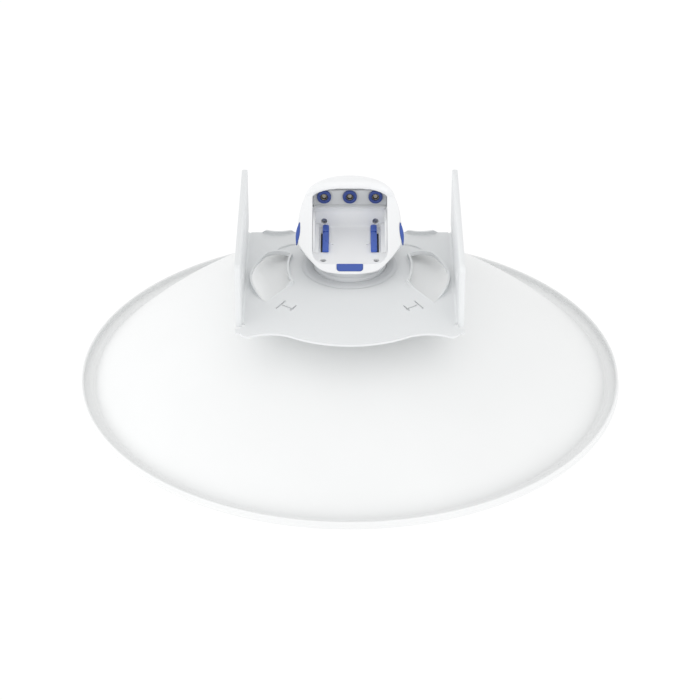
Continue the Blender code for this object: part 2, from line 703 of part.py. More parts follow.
SIDE_TAB_LOW, SIDE_TAB_HIGH = 40.4, 68.6  # its ends, as distances up the slope
SIDE_TAB_MIDDLE = (SIDE_TAB_LOW + SIDE_TAB_HIGH) / 2
SIDE_TAB_INNER = ((58.7, SIDE_TAB_HIGH), (58.7, 54.5), (61.7, SIDE_TAB_LOW))
SIDE_TAB_OUTER = ((62.7, SIDE_TAB_LOW), (63.1, 54.5), (59.3, SIDE_TAB_HIGH))
SIDE_TAB_DEPTH = 5.0


def side_tab(name, side, grow, top, bottom, finish=None, cutter=False):
    """A thin crescent, its upper face in the slope and its outer side a little proud of the wall."""
    lens = arc(*SIDE_TAB_OUTER, 8) + [SIDE_TAB_OUTER[2]] + arc(*SIDE_TAB_INNER, 8) + [SIDE_TAB_INNER[2]]
    lens = offset([(x, d - SIDE_TAB_MIDDLE) for x, d in lens], grow)
    plan = lens if side > 0 else mirrored(lens)
    return on_slope(slab(name, [plan], bottom, top, finish, cutter), SIDE_TAB_MIDDLE)


for side, word in ((-1, "left"), (1, "right")):
    recess = side_tab("side_tab_recess_" + word, side, GAP, 6.0, -SIDE_TAB_DEPTH - GAP, cutter=True)
    combine(radio_housing, recess)
    side_tab("side_tab_" + word, side, 0, 0.2, -SIDE_TAB_DEPTH, BLUE_PLASTIC)

# Feed: a tube through the reflector's hub, held by a flange in front, with a closed cap at the focus.

hub_front = bowl_back(HUB_FLAT_RADIUS) - SHEET
FLANGE_THICKNESS = 4.0
HUB_SCREW_CIRCLE = 36.0
feed_flange = turned(
    "feed_flange",
    ring_profile(FEED_TUBE_RADIUS + GAP, 46.0, hub_front - GAP - FLANGE_THICKNESS, hub_front - GAP),
    48,
    WHITE_PLASTIC,
    closed=True,
)
TUBE_FRONT = 12.0
TUBE_WALL = 2.5
feed_tube = turned(
    "feed_tube",
    ring_profile(FEED_TUBE_RADIUS - TUBE_WALL, FEED_TUBE_RADIUS, TUBE_FRONT, HOUSING_BOTTOM - GAP),
    40,
    WHITE_PLASTIC,
    closed=True,
)
cap_profile = [
    (0, TUBE_FRONT - GAP),
    (FEED_TUBE_RADIUS + GAP, TUBE_FRONT - GAP),
    (FEED_TUBE_RADIUS + GAP, FEED_HEAD_BACK),
    (FEED_HEAD_RADIUS - 3, FEED_HEAD_BACK),
    (FEED_HEAD_RADIUS, FEED_HEAD_BACK - 3),
    (FEED_HEAD_RADIUS, FEED_HEAD_FRONT + 8),
]
for i in range(1, 7):
    a = math.radians(90 * i / 6)
    cap_profile.append((FEED_HEAD_RADIUS * math.cos(a), FEED_HEAD_FRONT + 8 - 8 * math.sin(a)))
cap_profile[-1] = (0, FEED_HEAD_FRONT)
feed_cap = turned("feed_cap", cap_profile, 40, WHITE_PLASTIC)
COLLAR = [(20.3, 30.0), (22.5, 30.0), (29.0, FEED_HEAD_BACK + GAP), (20.3, FEED_HEAD_BACK + GAP)]
feed_collar = turned("feed_collar", COLLAR, 40, WHITE_PLASTIC, closed=True)
for i in range(4):
    a = math.radians(45 + 90 * i)
    screw = turned(f"hub_screw_{i + 1}", [(0, 0), (4, 0), (4, -1.8), (3, -2.6), (0, -2.6)], 16, STEEL)
    screw.location = (
        MM * HUB_SCREW_CIRCLE * math.cos(a),
        MM * HUB_SCREW_CIRCLE * math.sin(a),
        MM * (hub_front - 2 * GAP - FLANGE_THICKNESS),
    )

bpy.context.view_layer.update()
for made in parts.objects:
    if made.type == "MESH":
        smooth(made)
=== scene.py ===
import math

import bmesh
import bpy
from mathutils import Matrix, Vector


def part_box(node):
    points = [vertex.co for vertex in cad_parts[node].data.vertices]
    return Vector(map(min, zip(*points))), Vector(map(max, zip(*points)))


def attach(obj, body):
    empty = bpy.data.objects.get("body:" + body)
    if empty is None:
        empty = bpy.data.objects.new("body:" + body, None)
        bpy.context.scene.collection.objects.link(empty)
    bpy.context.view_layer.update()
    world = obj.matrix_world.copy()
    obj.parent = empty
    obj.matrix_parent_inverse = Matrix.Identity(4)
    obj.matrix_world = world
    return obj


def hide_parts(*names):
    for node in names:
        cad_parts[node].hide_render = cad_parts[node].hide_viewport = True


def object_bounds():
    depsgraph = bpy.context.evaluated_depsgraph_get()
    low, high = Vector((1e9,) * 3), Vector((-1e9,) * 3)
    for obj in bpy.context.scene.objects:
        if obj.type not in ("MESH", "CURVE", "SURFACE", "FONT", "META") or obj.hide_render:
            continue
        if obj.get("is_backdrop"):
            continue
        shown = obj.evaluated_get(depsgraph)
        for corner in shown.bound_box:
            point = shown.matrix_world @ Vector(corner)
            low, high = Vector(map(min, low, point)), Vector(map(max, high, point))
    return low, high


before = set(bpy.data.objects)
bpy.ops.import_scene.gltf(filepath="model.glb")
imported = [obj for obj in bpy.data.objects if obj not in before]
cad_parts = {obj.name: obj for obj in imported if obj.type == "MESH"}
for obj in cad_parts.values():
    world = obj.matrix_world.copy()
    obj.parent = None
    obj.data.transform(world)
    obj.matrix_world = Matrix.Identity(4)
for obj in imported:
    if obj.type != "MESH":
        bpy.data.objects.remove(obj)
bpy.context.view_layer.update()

# Reflector: a bowl of about 650 mm pressed from 2 mm aluminium sheet, a paraboloid with a flat hub. Its rim
# is a flat flange behind a shallow groove, closed by an edge folded back and pressed into a bead. It is
# powder coated all over.

RIM_HEM = 4.0
EDGE_HEIGHT = 7.0
SHEET = 2.0
VERTEX_HEIGHT = 143.5
BOWL_CURVE = 0.00159
BOWL_RADIUS = 305.0
GROOVE_RADIUS, GROOVE_HEIGHT = 308.8, -8.3
FLANGE_RADIUS = 313.5
EDGE_STEP, STEP_BACK, STEP_FRONT = 0.9, -5.6, -6.6
HUB_RADIUS = 52.0
HUB_HOLE = 22.0

# All is drawn in the antenna's own axes, in millimetres: x to the right, y up, and z backwards along the
# boresight from the edge's highest line.
reflector_low, reflector_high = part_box("reflector")
RIM_RADIUS = (reflector_high.x - reflector_low.x) * 500
middle_height = (reflector_low.z + reflector_high.z) / 2
BORESIGHT = Vector((0, reflector_high.y - (EDGE_HEIGHT + SHEET) / 1000, middle_height))
TO_FRAME = Matrix.Translation(BORESIGHT) @ Matrix.Rotation(math.pi / 2, 4, "X") @ Matrix.Scale(0.001, 4)


def add_node(tree, kind, inputs=None, **settings):
    """Adds a node with its settings. An input given as a socket is linked, and any other value is set."""
    made = tree.nodes.new(kind)
    for key, value in settings.items():
        setattr(made, key, value)
    for key, value in (inputs or {}).items():
        if isinstance(value, bpy.types.NodeSocket):
            tree.links.new(value, made.inputs[key])
        else:
            made.inputs[key].default_value = value
    return made


def linear(colour):
    """An sRGB colour as hex, turned to linear light."""
    parts = [int(colour[i : i + 2], 16) / 255 for i in (1, 3, 5)]
    return (*[c / 12.92 if c <= 0.04045 else ((c + 0.055) / 1.055) ** 2.4 for c in parts], 1.0)


def new_tree(name, inputs):
    """A Geometry Nodes tree with named inputs, each a (name, kind) pair, and one output."""
    tree = bpy.data.node_groups.new(name, "GeometryNodeTree")
    for label, kind in inputs:
        tree.interface.new_socket(label, in_out="INPUT", socket_type="NodeSocket" + kind)
    tree.interface.new_socket("Geometry", in_out="OUTPUT", socket_type="NodeSocketGeometry")
    return tree, add_node(tree, "NodeGroupInput").outputs


def made_by(tree, name, mesh, values):
    """A new object whose mesh is what the tree makes of the given one, with its inputs set by name."""
    obj = bpy.data.objects.new(name, mesh)
    bpy.context.scene.collection.objects.link(obj)
    modifier = obj.modifiers.new(tree.name, "NODES")
    modifier.node_group = tree
    for socket in tree.interface.items_tree:
        if socket.in_out == "INPUT" and socket.name in values:
            modifier[socket.identifier] = values[socket.name]
    return settled(obj)


def settled(obj):
    """Takes the result of the object's modifiers as its mesh, and removes them."""
    graph = bpy.context.evaluated_depsgraph_get()
    made = bpy.data.meshes.new_from_object(obj.evaluated_get(graph))
    obj.modifiers.clear()
    obj.data = made
    made.name = obj.name
    return obj


def placed(obj, nodes, finish=None, sharp=35, turn=TO_FRAME):
    """Puts a piece's mesh into the part's frame and hides the imported nodes that it stands for."""
    mesh = obj.data
    mesh.transform(turn)
    if finish:
        mesh.materials.clear()
        mesh.materials.append(finish)
    mesh.shade_smooth()
    mesh.set_sharp_from_angle(angle=math.radians(sharp))
    level = obj.modifiers.new("level_faces", "WEIGHTED_NORMAL")
    level.keep_sharp = True
    settled(obj)
    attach(obj, "root")
    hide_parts(*nodes)
    return obj


def fillets(points, radii, steps=4, closed=True):
    """An outline whose corners are rounded: radii gives a radius for each corner, 0 for a sharp one."""
    made = []
    for i, ((x, y), radius) in enumerate(zip(points, radii)):
        if radius == 0 or (not closed and i in (0, len(points) - 1)):
            made.append((x, y))
            continue
        here = Vector((x, y))
        before = (Vector(points[i - 1]) - here).normalized()
        after = (Vector(points[(i + 1) % len(points)]) - here).normalized()
        half = before.angle(after) / 2
        middle = here + (before + after).normalized() * radius / math.sin(half)
        reach = radius / math.tan(half)
        start, end = here + before * reach - middle, here + after * reach - middle
        for step in range(steps + 1):
            share = step / steps
            swept = start.slerp(end, share) * radius
            made.append(tuple(middle + swept))
    return made


def math_node(tree, operation, first, second=0.0):
    return add_node(tree, "ShaderNodeMath", {0: first, 1: second}, operation=operation).outputs[0]


def close_tree(tree, geometry, finish):
    """Ends a tree: its instances are made real, and the finish is set on them."""
    real = add_node(tree, "GeometryNodeRealizeInstances", {"Geometry": geometry})
    painted = add_node(tree, "GeometryNodeSetMaterial", {"Geometry": real.outputs[0], "Material": finish})
    add_node(tree, "NodeGroupOutput", {"Geometry": painted.outputs[0]})


# The tree that turns a section about the boresight, for the bowl and every other round piece. It makes a
# grid of the section's points by its steps round the axis, and puts each grid point in its place.
turning, given = new_tree(
    "turned_section",
    [("Section", "Geometry"), ("Steps", "Int"), ("Closed", "Int"), ("Finish", "Material")],
)
count = add_node(turning, "GeometryNodeAttributeDomainSize", {"Geometry": given["Section"]}).outputs[0]
rows = math_node(turning, "ADD", count, given["Closed"])
columns = math_node(turning, "ADD", given["Steps"], 1.0)
grid = add_node(turning, "GeometryNodeMeshGrid", {"Vertices X": rows, "Vertices Y": columns})
index = add_node(turning, "GeometryNodeInputIndex").outputs[0]
row = math_node(turning, "FLOOR", math_node(turning, "DIVIDE", index, columns))
row = math_node(turning, "MODULO", row, count)
column = math_node(turning, "MODULO", index, columns)
angle = math_node(turning, "MULTIPLY", math_node(turning, "DIVIDE", column, given["Steps"]), math.tau)
place = add_node(turning, "GeometryNodeInputPosition").outputs[0]
point = add_node(
    turning,
    "GeometryNodeSampleIndex",
    {"Geometry": given["Section"], "Value": place, "Index": row},
    data_type="FLOAT_VECTOR",
    domain="POINT",
)
turned_point = add_node(
    turning,
    "ShaderNodeVectorRotate",
    {"Vector": point.outputs[0], "Angle": angle},
    rotation_type="Z_AXIS",
)
shaped = {"Geometry": grid.outputs[0], "Position": turned_point.outputs[0]}
shaped = add_node(turning, "GeometryNodeSetPosition", shaped).outputs[0]
merged = add_node(turning, "GeometryNodeMergeByDistance", {"Geometry": shaped, "Distance": 0.0005})
close_tree(turning, merged.outputs[0], given["Finish"])


def turned(name, section, steps, finish, closed=True):
    """A turned piece. Its section of (radius, height) points runs down the outer side."""
    mesh = bpy.data.meshes.new(name + "_section")
    mesh.from_pydata([(r, 0, z) for r, z in section], [], [])
    obj = made_by(turning, name, mesh, {"Steps": steps, "Closed": int(closed), "Finish": finish})
    shape = bmesh.new()
    shape.from_mesh(obj.data)
    bmesh.ops.recalc_face_normals(shape, faces=shape.faces)
    shape.to_mesh(obj.data)
    shape.free()
    return obj


def surface(name, colour, roughness, metallic=0.0, grain=0.8, depth=0.02, mottle=0.02):
    """A finish with a fine grain, its size in millimetres, and a faint and wide unevenness of its tone."""
    made = bpy.data.materials.new(name)
    made.use_nodes = True
    tree = made.node_tree
    shader = tree.nodes["Principled BSDF"]
    shader.inputs["Metallic"].default_value = metallic
    place = add_node(tree, "ShaderNodeTexCoord").outputs["Object"]
    wide = add_node(tree, "ShaderNodeTexNoise", {"Vector": place, "Scale": 9.0, "Detail": 2.0})
    fine = add_node(tree, "ShaderNodeTexNoise", {"Vector": place, "Scale": 1000 / grain, "Detail": 3.0})
    wide, fine = wide.outputs["Fac"], fine.outputs["Fac"]
    tone = {"Value": wide, "To Min": 1 - mottle, "To Max": 1 + mottle}
    tone = add_node(tree, "ShaderNodeMapRange", tone).outputs[0]
    shade = {0: linear(colour)[:3], "Scale": tone}
    shade = add_node(tree, "ShaderNodeVectorMath", shade, operation="SCALE")
    gloss = {"Value": fine, "To Min": roughness - 0.05, "To Max": roughness + 0.05}
    gloss = add_node(tree, "ShaderNodeMapRange", gloss)
    bump = {"Height": fine, "Strength": 0.5, "Distance": depth / 1000}
    bump = add_node(tree, "ShaderNodeBump", bump)
    tree.links.new(shade.outputs[0], shader.inputs["Base Color"])
    tree.links.new(gloss.outputs[0], shader.inputs["Roughness"])
    tree.links.new(bump.outputs[0], shader.inputs["Normal"])
    return made


# Polyester powder coat, baked on. It flows into a satin film with a faint orange peel of about 1 mm.
POWDER_COAT = surface("white_powder_coat", "#E7E8E8", 0.42, grain=1.1, depth=0.03)


def bowl(radius):
    return VERTEX_HEIGHT - BOWL_CURVE * radius * radius


hub = bowl(HUB_RADIUS)
bowl_steps = [HUB_RADIUS + (BOWL_RADIUS - HUB_RADIUS) * i / 48 for i in range(49)]
edge_inside = RIM_RADIUS - RIM_HEM
back = [(HUB_HOLE, hub)] + [(r, bowl(r)) for r in bowl_steps]
back += fillets(
    [
        (BOWL_RADIUS, bowl(BOWL_RADIUS)),
        (GROOVE_RADIUS, GROOVE_HEIGHT),
        (FLANGE_RADIUS, -EDGE_HEIGHT),
        (edge_inside, -EDGE_HEIGHT),
        (edge_inside, 0),
        (RIM_RADIUS - EDGE_STEP, 0),
        (RIM_RADIUS - EDGE_STEP, STEP_BACK),
        (RIM_RADIUS, STEP_FRONT),
        (RIM_RADIUS, -EDGE_HEIGHT - SHEET),
        (edge_inside, -EDGE_HEIGHT - SHEET),
    ],
    [0, 1.6, 1.6, 0.9, 1.5, 1.3, 0.8, 0.7, 0.9, 0],
    closed=False,
)[1:]
front = [(FLANGE_RADIUS, -EDGE_HEIGHT - SHEET)]
for r in reversed(bowl_steps):
    slope = math.atan(2 * BOWL_CURVE * r)
    front.append((r - SHEET * math.sin(slope), bowl(r) - SHEET * math.cos(slope)))
front.append((HUB_HOLE, hub - SHEET))
dish = turned("dish_bowl", back + front, 240, POWDER_COAT)
placed(dish, ["reflector"], sharp=30)

# Mounting bracket: one blank of 2.5 mm steel, pressed and bent, and powder coated like the bowl. Two ears
# stand up along its sides, each with a flange turned out along its top and front. The edges of the two
# cut-outs and the rear notches are drawn up as stiffening lips.

# The same kind of powder coat on galvanised steel, with a slightly coarser peel. It is a shade greyer than
# the bowl's, which paints in the shade that falls on the plate between the ears and under the housing.
STEEL_COAT = surface("white_powder_coat_on_steel", "#E0E2E3", 0.45, grain=1.3, depth=0.035)

PLATE_BACK = 142.0
PLATE = 2.5
PLATE_REAR = 82.0
PLATE_HALF_WIDTH = 124.2
FRONT_MIDDLE = (0.0, -181.0)
FRONT_BULGE_END = (60.0, -166.0)
FRONT_DIP = (FRONT_BULGE_END, (87.0, -156.5), (114.0, -163.0))
FRONT_CORNER = ((114.0, -163.0), (121.5, -160.0), (PLATE_HALF_WIDTH, -153.0))
NOTCH = ((107.0, PLATE_REAR), (86.0, 75.5), (65.0, PLATE_REAR))
RELIEF = ((PLATE_HALF_WIDTH, -1.6), (119.2, -1.2), (118.6, 3.5))
CUTOUT_TIP = (96.5, -86.0)
CUTOUT_INNER = (
    ((70.0, 21.0), (73.0, 5.0), (73.0, -12.0)),
    ((73.0, -12.0), (71.6, -27.0), (67.6, -42.0)),
)
CUTOUT_OUTER = (
    ((102.0, -79.5), (112.5, -54.0), (115.6, -25.0)),
    ((115.6, -25.0), (110.0, 0.0), (99.0, 22.5)),
    ((99.0, 22.5), (86.0, 28.6), (70.0, 21.0)),
)
BEAD = ((87.0, 38.0), (77.5, 46.5), (63.0, 52.0))
BEAD_HALF_WIDTH, BEAD_RISE, BEAD_SUNK = 1.7, 2.3, 0.6
SLIT_BARS = (
    ((75.0, -83.5), (84.0, -99.5)),
    ((62.0, -94.5), (68.0, -104.0)),
    ((79.0, -91.5), (65.5, -101.5)),
)
SLIT_WIDTH = 2.2
LIP_HEIGHT = 4.5
CORNER_TAB = (-154.5, -145.5)
CORNER_TAB_ROOT, CORNER_TAB_REACH = 118.0, 129.6
EAR_INSIDE = 122.7
EAR_FRONT, EAR_REAR, EAR_TOP = -139.3, 100.3, 218.4
EAR_FLANGE_REACH, FLANGE_END = 129.4, EAR_REAR - 1.5
EAR_TOP_BEND, EAR_FRONT_BEND, EAR_REAR_BEND = 5.0, 2.7, 2.0
EAR_LOW, EAR_CORNER = 140.2, 9.0
FLANGE_CORNER = 2.4
FOOT_BEND = 3.0
PIVOT = (-98.0, 184.0)
BOLT_HOLE = 4.5
SLOT_RADIUS, SLOT_HALF_ANGLE = 112.0, 10.0


def arc(start, middle, end, count):
    """Points on the circle through three points, from the first to just before the last."""
    (ax, ay), (bx, by), (cx, cy) = start, middle, end
    d = 2 * (ax * (by - cy) + bx * (cy - ay) + cx * (ay - by))
    squares = (ax * ax + ay * ay, bx * bx + by * by, cx * cx + cy * cy)
    ux = (squares[0] * (by - cy) + squares[1] * (cy - ay) + squares[2] * (ay - by)) / d
    uy = (squares[0] * (cx - bx) + squares[1] * (ax - cx) + squares[2] * (bx - ax)) / d
    radius = math.dist((ux, uy), start)
    first = math.atan2(ay - uy, ax - ux)
    half = (math.atan2(by - uy, bx - ux) - first) % math.tau
    sweep = (math.atan2(cy - uy, cx - ux) - first) % math.tau
    if half > sweep:
        sweep -= math.tau
    angles = [first + sweep * i / count for i in range(count)]
    return [(ux + radius * math.cos(a), uy + radius * math.sin(a)) for a in angles]


def polar(centre, radius, degrees):
    a = math.radians(degrees)
    return (centre[0] + radius * math.cos(a), centre[1] + radius * math.sin(a))


def circle(centre, radius, count):
    return [polar(centre, radius, 360 * i / count) for i in range(count)]


def rectangle(x0, y0, x1, y1):
    return [(min(x0, x1), y0), (max(x0, x1), y0), (max(x0, x1), y1), (min(x0, x1), y1)]


def mirrored(points):
    return [(-x, y) for x, y in reversed(points)]


def offset(points, distance):
    """The closed outline moved outwards by a distance, or by one for each point. It runs anticlockwise."""
    moved = []
    count = len(points)
    for i in range(count):
        here, before, after = (Vector(points[j % count]) for j in (i, i - 1, i + 1))
        came, goes = (here - before).normalized(), (after - here).normalized()
        normal = Vector((came.y + goes.y, -came.x - goes.x)).normalized()
        cosine = max(normal.dot(Vector((came.y, -came.x))), 0.55)
        reach = distance[i] if isinstance(distance, list) else distance
        moved.append(tuple(here + normal * reach / cosine))
    return moved


def ease(value, low, high):
    t = min(1.0, max(0.0, (value - low) / (high - low)))
    return t * t * (3 - 2 * t)


def filled(outlines):
    """A flat triangulated sheet with the given outline and holes, as a bmesh at height 0."""
    curve = bpy.data.curves.new("sheet", "CURVE")
    curve.dimensions = "2D"
    curve.fill_mode = "BOTH"
    for outline in outlines:
        spline = curve.splines.new("POLY")
        spline.points.add(len(outline) - 1)
        for target, (x, y) in zip(spline.points, outline):
            target.co = (x, y, 0, 1)
        spline.use_cyclic_u = True
    holder = bpy.data.objects.new("sheet", curve)
    bpy.context.scene.collection.objects.link(holder)
    graph = bpy.context.evaluated_depsgraph_get()
    mesh = bpy.data.meshes.new_from_object(holder.evaluated_get(graph))
    bpy.data.objects.remove(holder)
    shape = bmesh.new()
    shape.from_mesh(mesh)
    return shape


def add_rings(shape, rings, closed=True):
    """Adds bands of faces between rings of as many points each."""
    made = [[shape.verts.new(p) for p in ring] for ring in rings]
    for low, high in zip(made, made[1:]):
        for i in range(len(low) if closed else len(low) - 1):
            j = (i + 1) % len(low)
            shape.faces.new((low[i], low[j], high[j], high[i]))
    return made


def capped(shape, rings):
    """Adds a closed body of rings with a face at each end."""
    made = add_rings(shape, rings)
    shape.faces.new(list(reversed(made[0])))
    shape.faces.new(made[-1])
    bmesh.ops.recalc_face_normals(shape, faces=shape.faces)


# Turns for solids that run along x, with outlines of (y, z) points, and along y, with (x, z) points.
ALONG = {
    "x": ((0, 0, 1), (1, 0, 0), (0, 1, 0)),
    "y": ((1, 0, 0), (0, 0, 1), (0, 1, 0)),
    "z": ((1, 0, 0), (0, 1, 0), (0, 0, 1)),
}


def solid(name, outlines, low, high, axis="z"):
    """A closed solid between two places on the axis, of an outline and the holes in it."""
    if len(outlines) == 1:
        shape = bmesh.new()
        capped(shape, [[(a, b, level) for a, b in outlines[0]] for level in (low, high)])
    else:
        shape = filled(outlines)
        bmesh.ops.remove_doubles(shape, verts=shape.verts, dist=0.001)
        bmesh.ops.translate(shape, vec=(0, 0, low), verts=shape.verts)
        raised = bmesh.ops.extrude_face_region(shape, geom=shape.faces[:])
        top = [v for v in raised["geom"] if isinstance(v, bmesh.types.BMVert)]
        bmesh.ops.translate(shape, vec=(0, 0, high - low), verts=top)
    bmesh.ops.transform(shape, matrix=Matrix(ALONG[axis]).to_4x4(), verts=shape.verts)
    bmesh.ops.recalc_face_normals(shape, faces=shape.faces)
    return as_object(name, shape)


def as_object(name, shape):
    mesh = bpy.data.meshes.new(name)
    shape.to_mesh(mesh)
    shape.free()
    obj = bpy.data.objects.new(name, mesh)
    bpy.context.scene.collection.objects.link(obj)
    return obj


def cut(obj, *cutters, operation="DIFFERENCE", solver="EXACT"):
    """Cuts each cutter out of the piece, or joins it on, and removes the cutter."""
    for cutter in cutters:
        change = obj.modifiers.new(cutter.name, "BOOLEAN")
        change.operation = operation
        change.solver = solver
        change.object = cutter
    settled(obj)
    for cutter in cutters:
        bpy.data.objects.remove(cutter)
    return obj


def eased(obj, width, angle=35, segments=3):
    """Rounds the sharp edges of a piece."""
    soft = obj.modifiers.new("edges", "BEVEL")
    soft.width = width
    soft.segments = segments
    soft.limit_method = "ANGLE"
    soft.angle_limit = math.radians(angle)
    return settled(obj)


def joined(name, objects):
    """Several objects' meshes as one object."""
    shape = bmesh.new()
    for obj in objects:
        shape.from_mesh(obj.data)
        bpy.data.objects.remove(obj)
    return as_object(name, shape)


right_edge = arc(FRONT_MIDDLE, (31.0, -177.2), FRONT_BULGE_END, 16)
right_edge += arc(*FRONT_DIP, 16) + arc(*FRONT_CORNER, 8) + [FRONT_CORNER[2]]
right_edge += [(x, EAR_FRONT + y) for x, y in RELIEF]
foot_places = (EAR_FRONT + 5, -100, -60, -20, 20, 60, PLATE_REAR - 2.0)
ear_foot = [(EAR_INSIDE - FOOT_BEND, y) for y in foot_places]
right_edge += ear_foot + [(EAR_INSIDE - FOOT_BEND - 0.8, PLATE_REAR)]
notch_arc = arc(*NOTCH, 28) + [NOTCH[2]]
notch_shares = [ease(min(i, 28 - i), 0, 4) for i in range(29)]
# The notch's lip, as (inset, share of its height).
NOTCH_STEPS = ((3.4, 0.0), (2.8, 0.0), (2.0, 0.05), (1.4, 0.2), (1.1, 0.45), (1.0, 1.0))
right_edge += [(x, y - NOTCH_STEPS[0][0] * share) for (x, y), share in zip(notch_arc, notch_shares)]
plate_outline = right_edge + [(-x, y) for x, y in reversed(right_edge[1:])]

cutout = []
for bend in CUTOUT_INNER:
    cutout += arc(*bend, 12)
(x0, y0), (x1, y1) = CUTOUT_INNER[-1][2], CUTOUT_TIP
cutout += [(x0 + (x1 - x0) * i / 10, y0 + (y1 - y0) * i / 10) for i in range(11)]
for bend in CUTOUT_OUTER:
    cutout += arc(*bend, 18)


def lip_share(x, y):
    """How far the lip stands up: fully along the curved sides, and not at the straight side and the tip."""
    along_straight = ease(86.0 - abs(x) + (y + 42.0) * -0.25, -12, 4) * ease(-y, 44, 54)
    return 1 - max(0.9 * along_straight, ease(-y, 58, 89))


# A lip's bend and wall, as (inset where it stands up, inset where it doesn't, share of its height).
LIP_STEPS = (
    (3.2, 3.2, 0.0),
    (2.6, 2.6, 0.0),
    (2.15, 2.0, 0.05),
    (1.85, 1.4, 0.18),
    (1.7, 0.9, 0.4),
    (1.62, 0.4, 0.7),
    (1.6, 0.0, 1.0),
)
shares = [lip_share(*c) for c in cutout]
lip_rings = []
for raised, level, rise in LIP_STEPS:
    outline = offset(cutout, [level + (raised - level) * share for share in shares])
    lip_rings.append([(x, y, rise * LIP_HEIGHT * share) for (x, y), share in zip(outline, shares)])
cutout_edge = [(x, y) for x, y, _ in lip_rings[0]]
sheet = filled([plate_outline, circle((0, 0), HUB_HOLE, 64), cutout_edge, mirrored(cutout_edge)])
for mirror in (1, -1):
    add_rings(sheet, [[(mirror * x, y, z) for x, y, z in ring] for ring in lip_rings])
    notch_rings = []
    for inset, rise in NOTCH_STEPS:
        along = zip(notch_arc, notch_shares)
        notch_rings.append([(mirror * x, y - inset * n, rise * LIP_HEIGHT * n) for (x, y), n in along])
    add_rings(sheet, notch_rings, closed=False)

    # The ear with its bend at the foot, as rings from the sheet upwards.
    foot = []
    for step in range(7):
        a = math.radians(15 * step)
        x = EAR_INSIDE - FOOT_BEND + FOOT_BEND * math.sin(a)
        foot.append([(mirror * x, y, FOOT_BEND * (1 - math.cos(a))) for _, y in ear_foot])
    add_rings(sheet, foot, closed=False)
bmesh.ops.translate(sheet, vec=(0, 0, PLATE_BACK), verts=sheet.verts)

slot_swings = [SLOT_HALF_ANGLE * (i / 8 - 1) for i in range(17)]
slot_high = polar(PIVOT, SLOT_RADIUS, SLOT_HALF_ANGLE)
slot_low = polar(PIVOT, SLOT_RADIUS, -SLOT_HALF_ANGLE)
slot = [polar(PIVOT, SLOT_RADIUS + BOLT_HOLE, a) for a in slot_swings]
slot += [polar(slot_high, BOLT_HOLE, SLOT_HALF_ANGLE + a) for a in range(15, 180, 15)]
slot += [polar(PIVOT, SLOT_RADIUS - BOLT_HOLE, a) for a in reversed(slot_swings)]
slot += [polar(slot_low, BOLT_HOLE, 180 - SLOT_HALF_ANGLE + a) for a in range(15, 180, 15)]

flat_low = PLATE_BACK + FOOT_BEND
ear_path = [(EAR_FRONT, EAR_LOW), (EAR_FRONT, EAR_TOP), (FLANGE_END, EAR_TOP)]
ear_path = fillets(ear_path, [0, EAR_CORNER, 0], steps=8, closed=False)
ear_path[-1:] = [(FLANGE_END - step, EAR_TOP) for step in (25.0, 2.4, 1.8, 1.2, 0.7, 0.3, 0.0)]
ear_line = [Vector(p) for p in ear_path]
inwards = []
for i, here in enumerate(ear_line):
    came = (here - ear_line[max(i - 1, 0)]) if i else (ear_line[1] - here)
    goes = (ear_line[min(i + 1, len(ear_line) - 1)] - here) if i < len(ear_line) - 1 else came
    way = (came.normalized() + goes.normalized()).normalized()
    inwards.append(Vector((way.y, -way.x)))
bend_radii = []
for p in ear_line:
    radius = EAR_FRONT_BEND + (EAR_TOP_BEND - EAR_FRONT_BEND) * ease(p.y, 190, EAR_TOP)
    bend_radii.append(radius + (EAR_REAR_BEND - radius) * ease(p.x, EAR_REAR - 26, EAR_REAR - 4))
reaches = []
for p in ear_line:
    cut_back = min(FLANGE_CORNER, max(0.0, FLANGE_CORNER - (FLANGE_END - p.x)))
    reaches.append(EAR_FLANGE_REACH - FLANGE_CORNER + math.sqrt(FLANGE_CORNER**2 - cut_back**2))
bend_line = [here + inward * r for here, inward, r in zip(ear_line, inwards, bend_radii)]
rear = fillets(
    [
        (FLANGE_END, EAR_TOP - EAR_REAR_BEND),
        (EAR_REAR, EAR_TOP - EAR_REAR_BEND - 2),
        (EAR_REAR, PLATE_BACK + 1.5),
        (PLATE_REAR + 0.5, PLATE_BACK + 1.5),
    ],
    [0, 1.0, 4.0, 0],
    closed=False,
)
low_edge = [(PLATE_REAR - 0.6, flat_low - 0.3)] + [(y, flat_low) for _, y in reversed(ear_foot)]
ear_flat = [tuple(p) for p in bend_line] + rear[1:] + low_edge
for mirror in (1, -1):
    flat = filled([ear_flat, circle(PIVOT, BOLT_HOLE, 32), slot])
    bmesh.ops.transform(
        flat,
        matrix=Matrix(((0, 0, 1, mirror * EAR_INSIDE), (1, 0, 0, 0), (0, 1, 0, 0), (0, 0, 0, 1))),
        verts=flat.verts,
    )
    mesh = bpy.data.meshes.new("ear_flat")
    flat.to_mesh(mesh)
    flat.free()
    sheet.from_mesh(mesh)
    bends = []
    for step in range(9):
        a = math.radians(90 * step / 8)
        row = []
        for here, inward, r, reach in zip(ear_line, inwards, bend_radii, reaches):
            out = min(r * (1 - math.cos(a)), reach - EAR_INSIDE)
            row.append((mirror * (EAR_INSIDE + out), *(here + inward * r * (1 - math.sin(a)))))
        bends.append(row)
    edge = zip(ear_line, bend_radii, reaches)
    bends.append([(mirror * max(reach, EAR_INSIDE + r), *here) for here, r, reach in edge])
    add_rings(sheet, bends, closed=False)
bmesh.ops.remove_doubles(sheet, verts=sheet.verts, dist=0.02)
bmesh.ops.recalc_face_normals(sheet, faces=sheet.faces)
bracket = as_object("bracket_sheet", sheet)
middle_face = min(bracket.data.polygons, key=lambda f: (f.center - Vector((0, -120, PLATE_BACK))).length)
thick = bracket.modifiers.new("thickness", "SOLIDIFY")
thick.thickness = PLATE
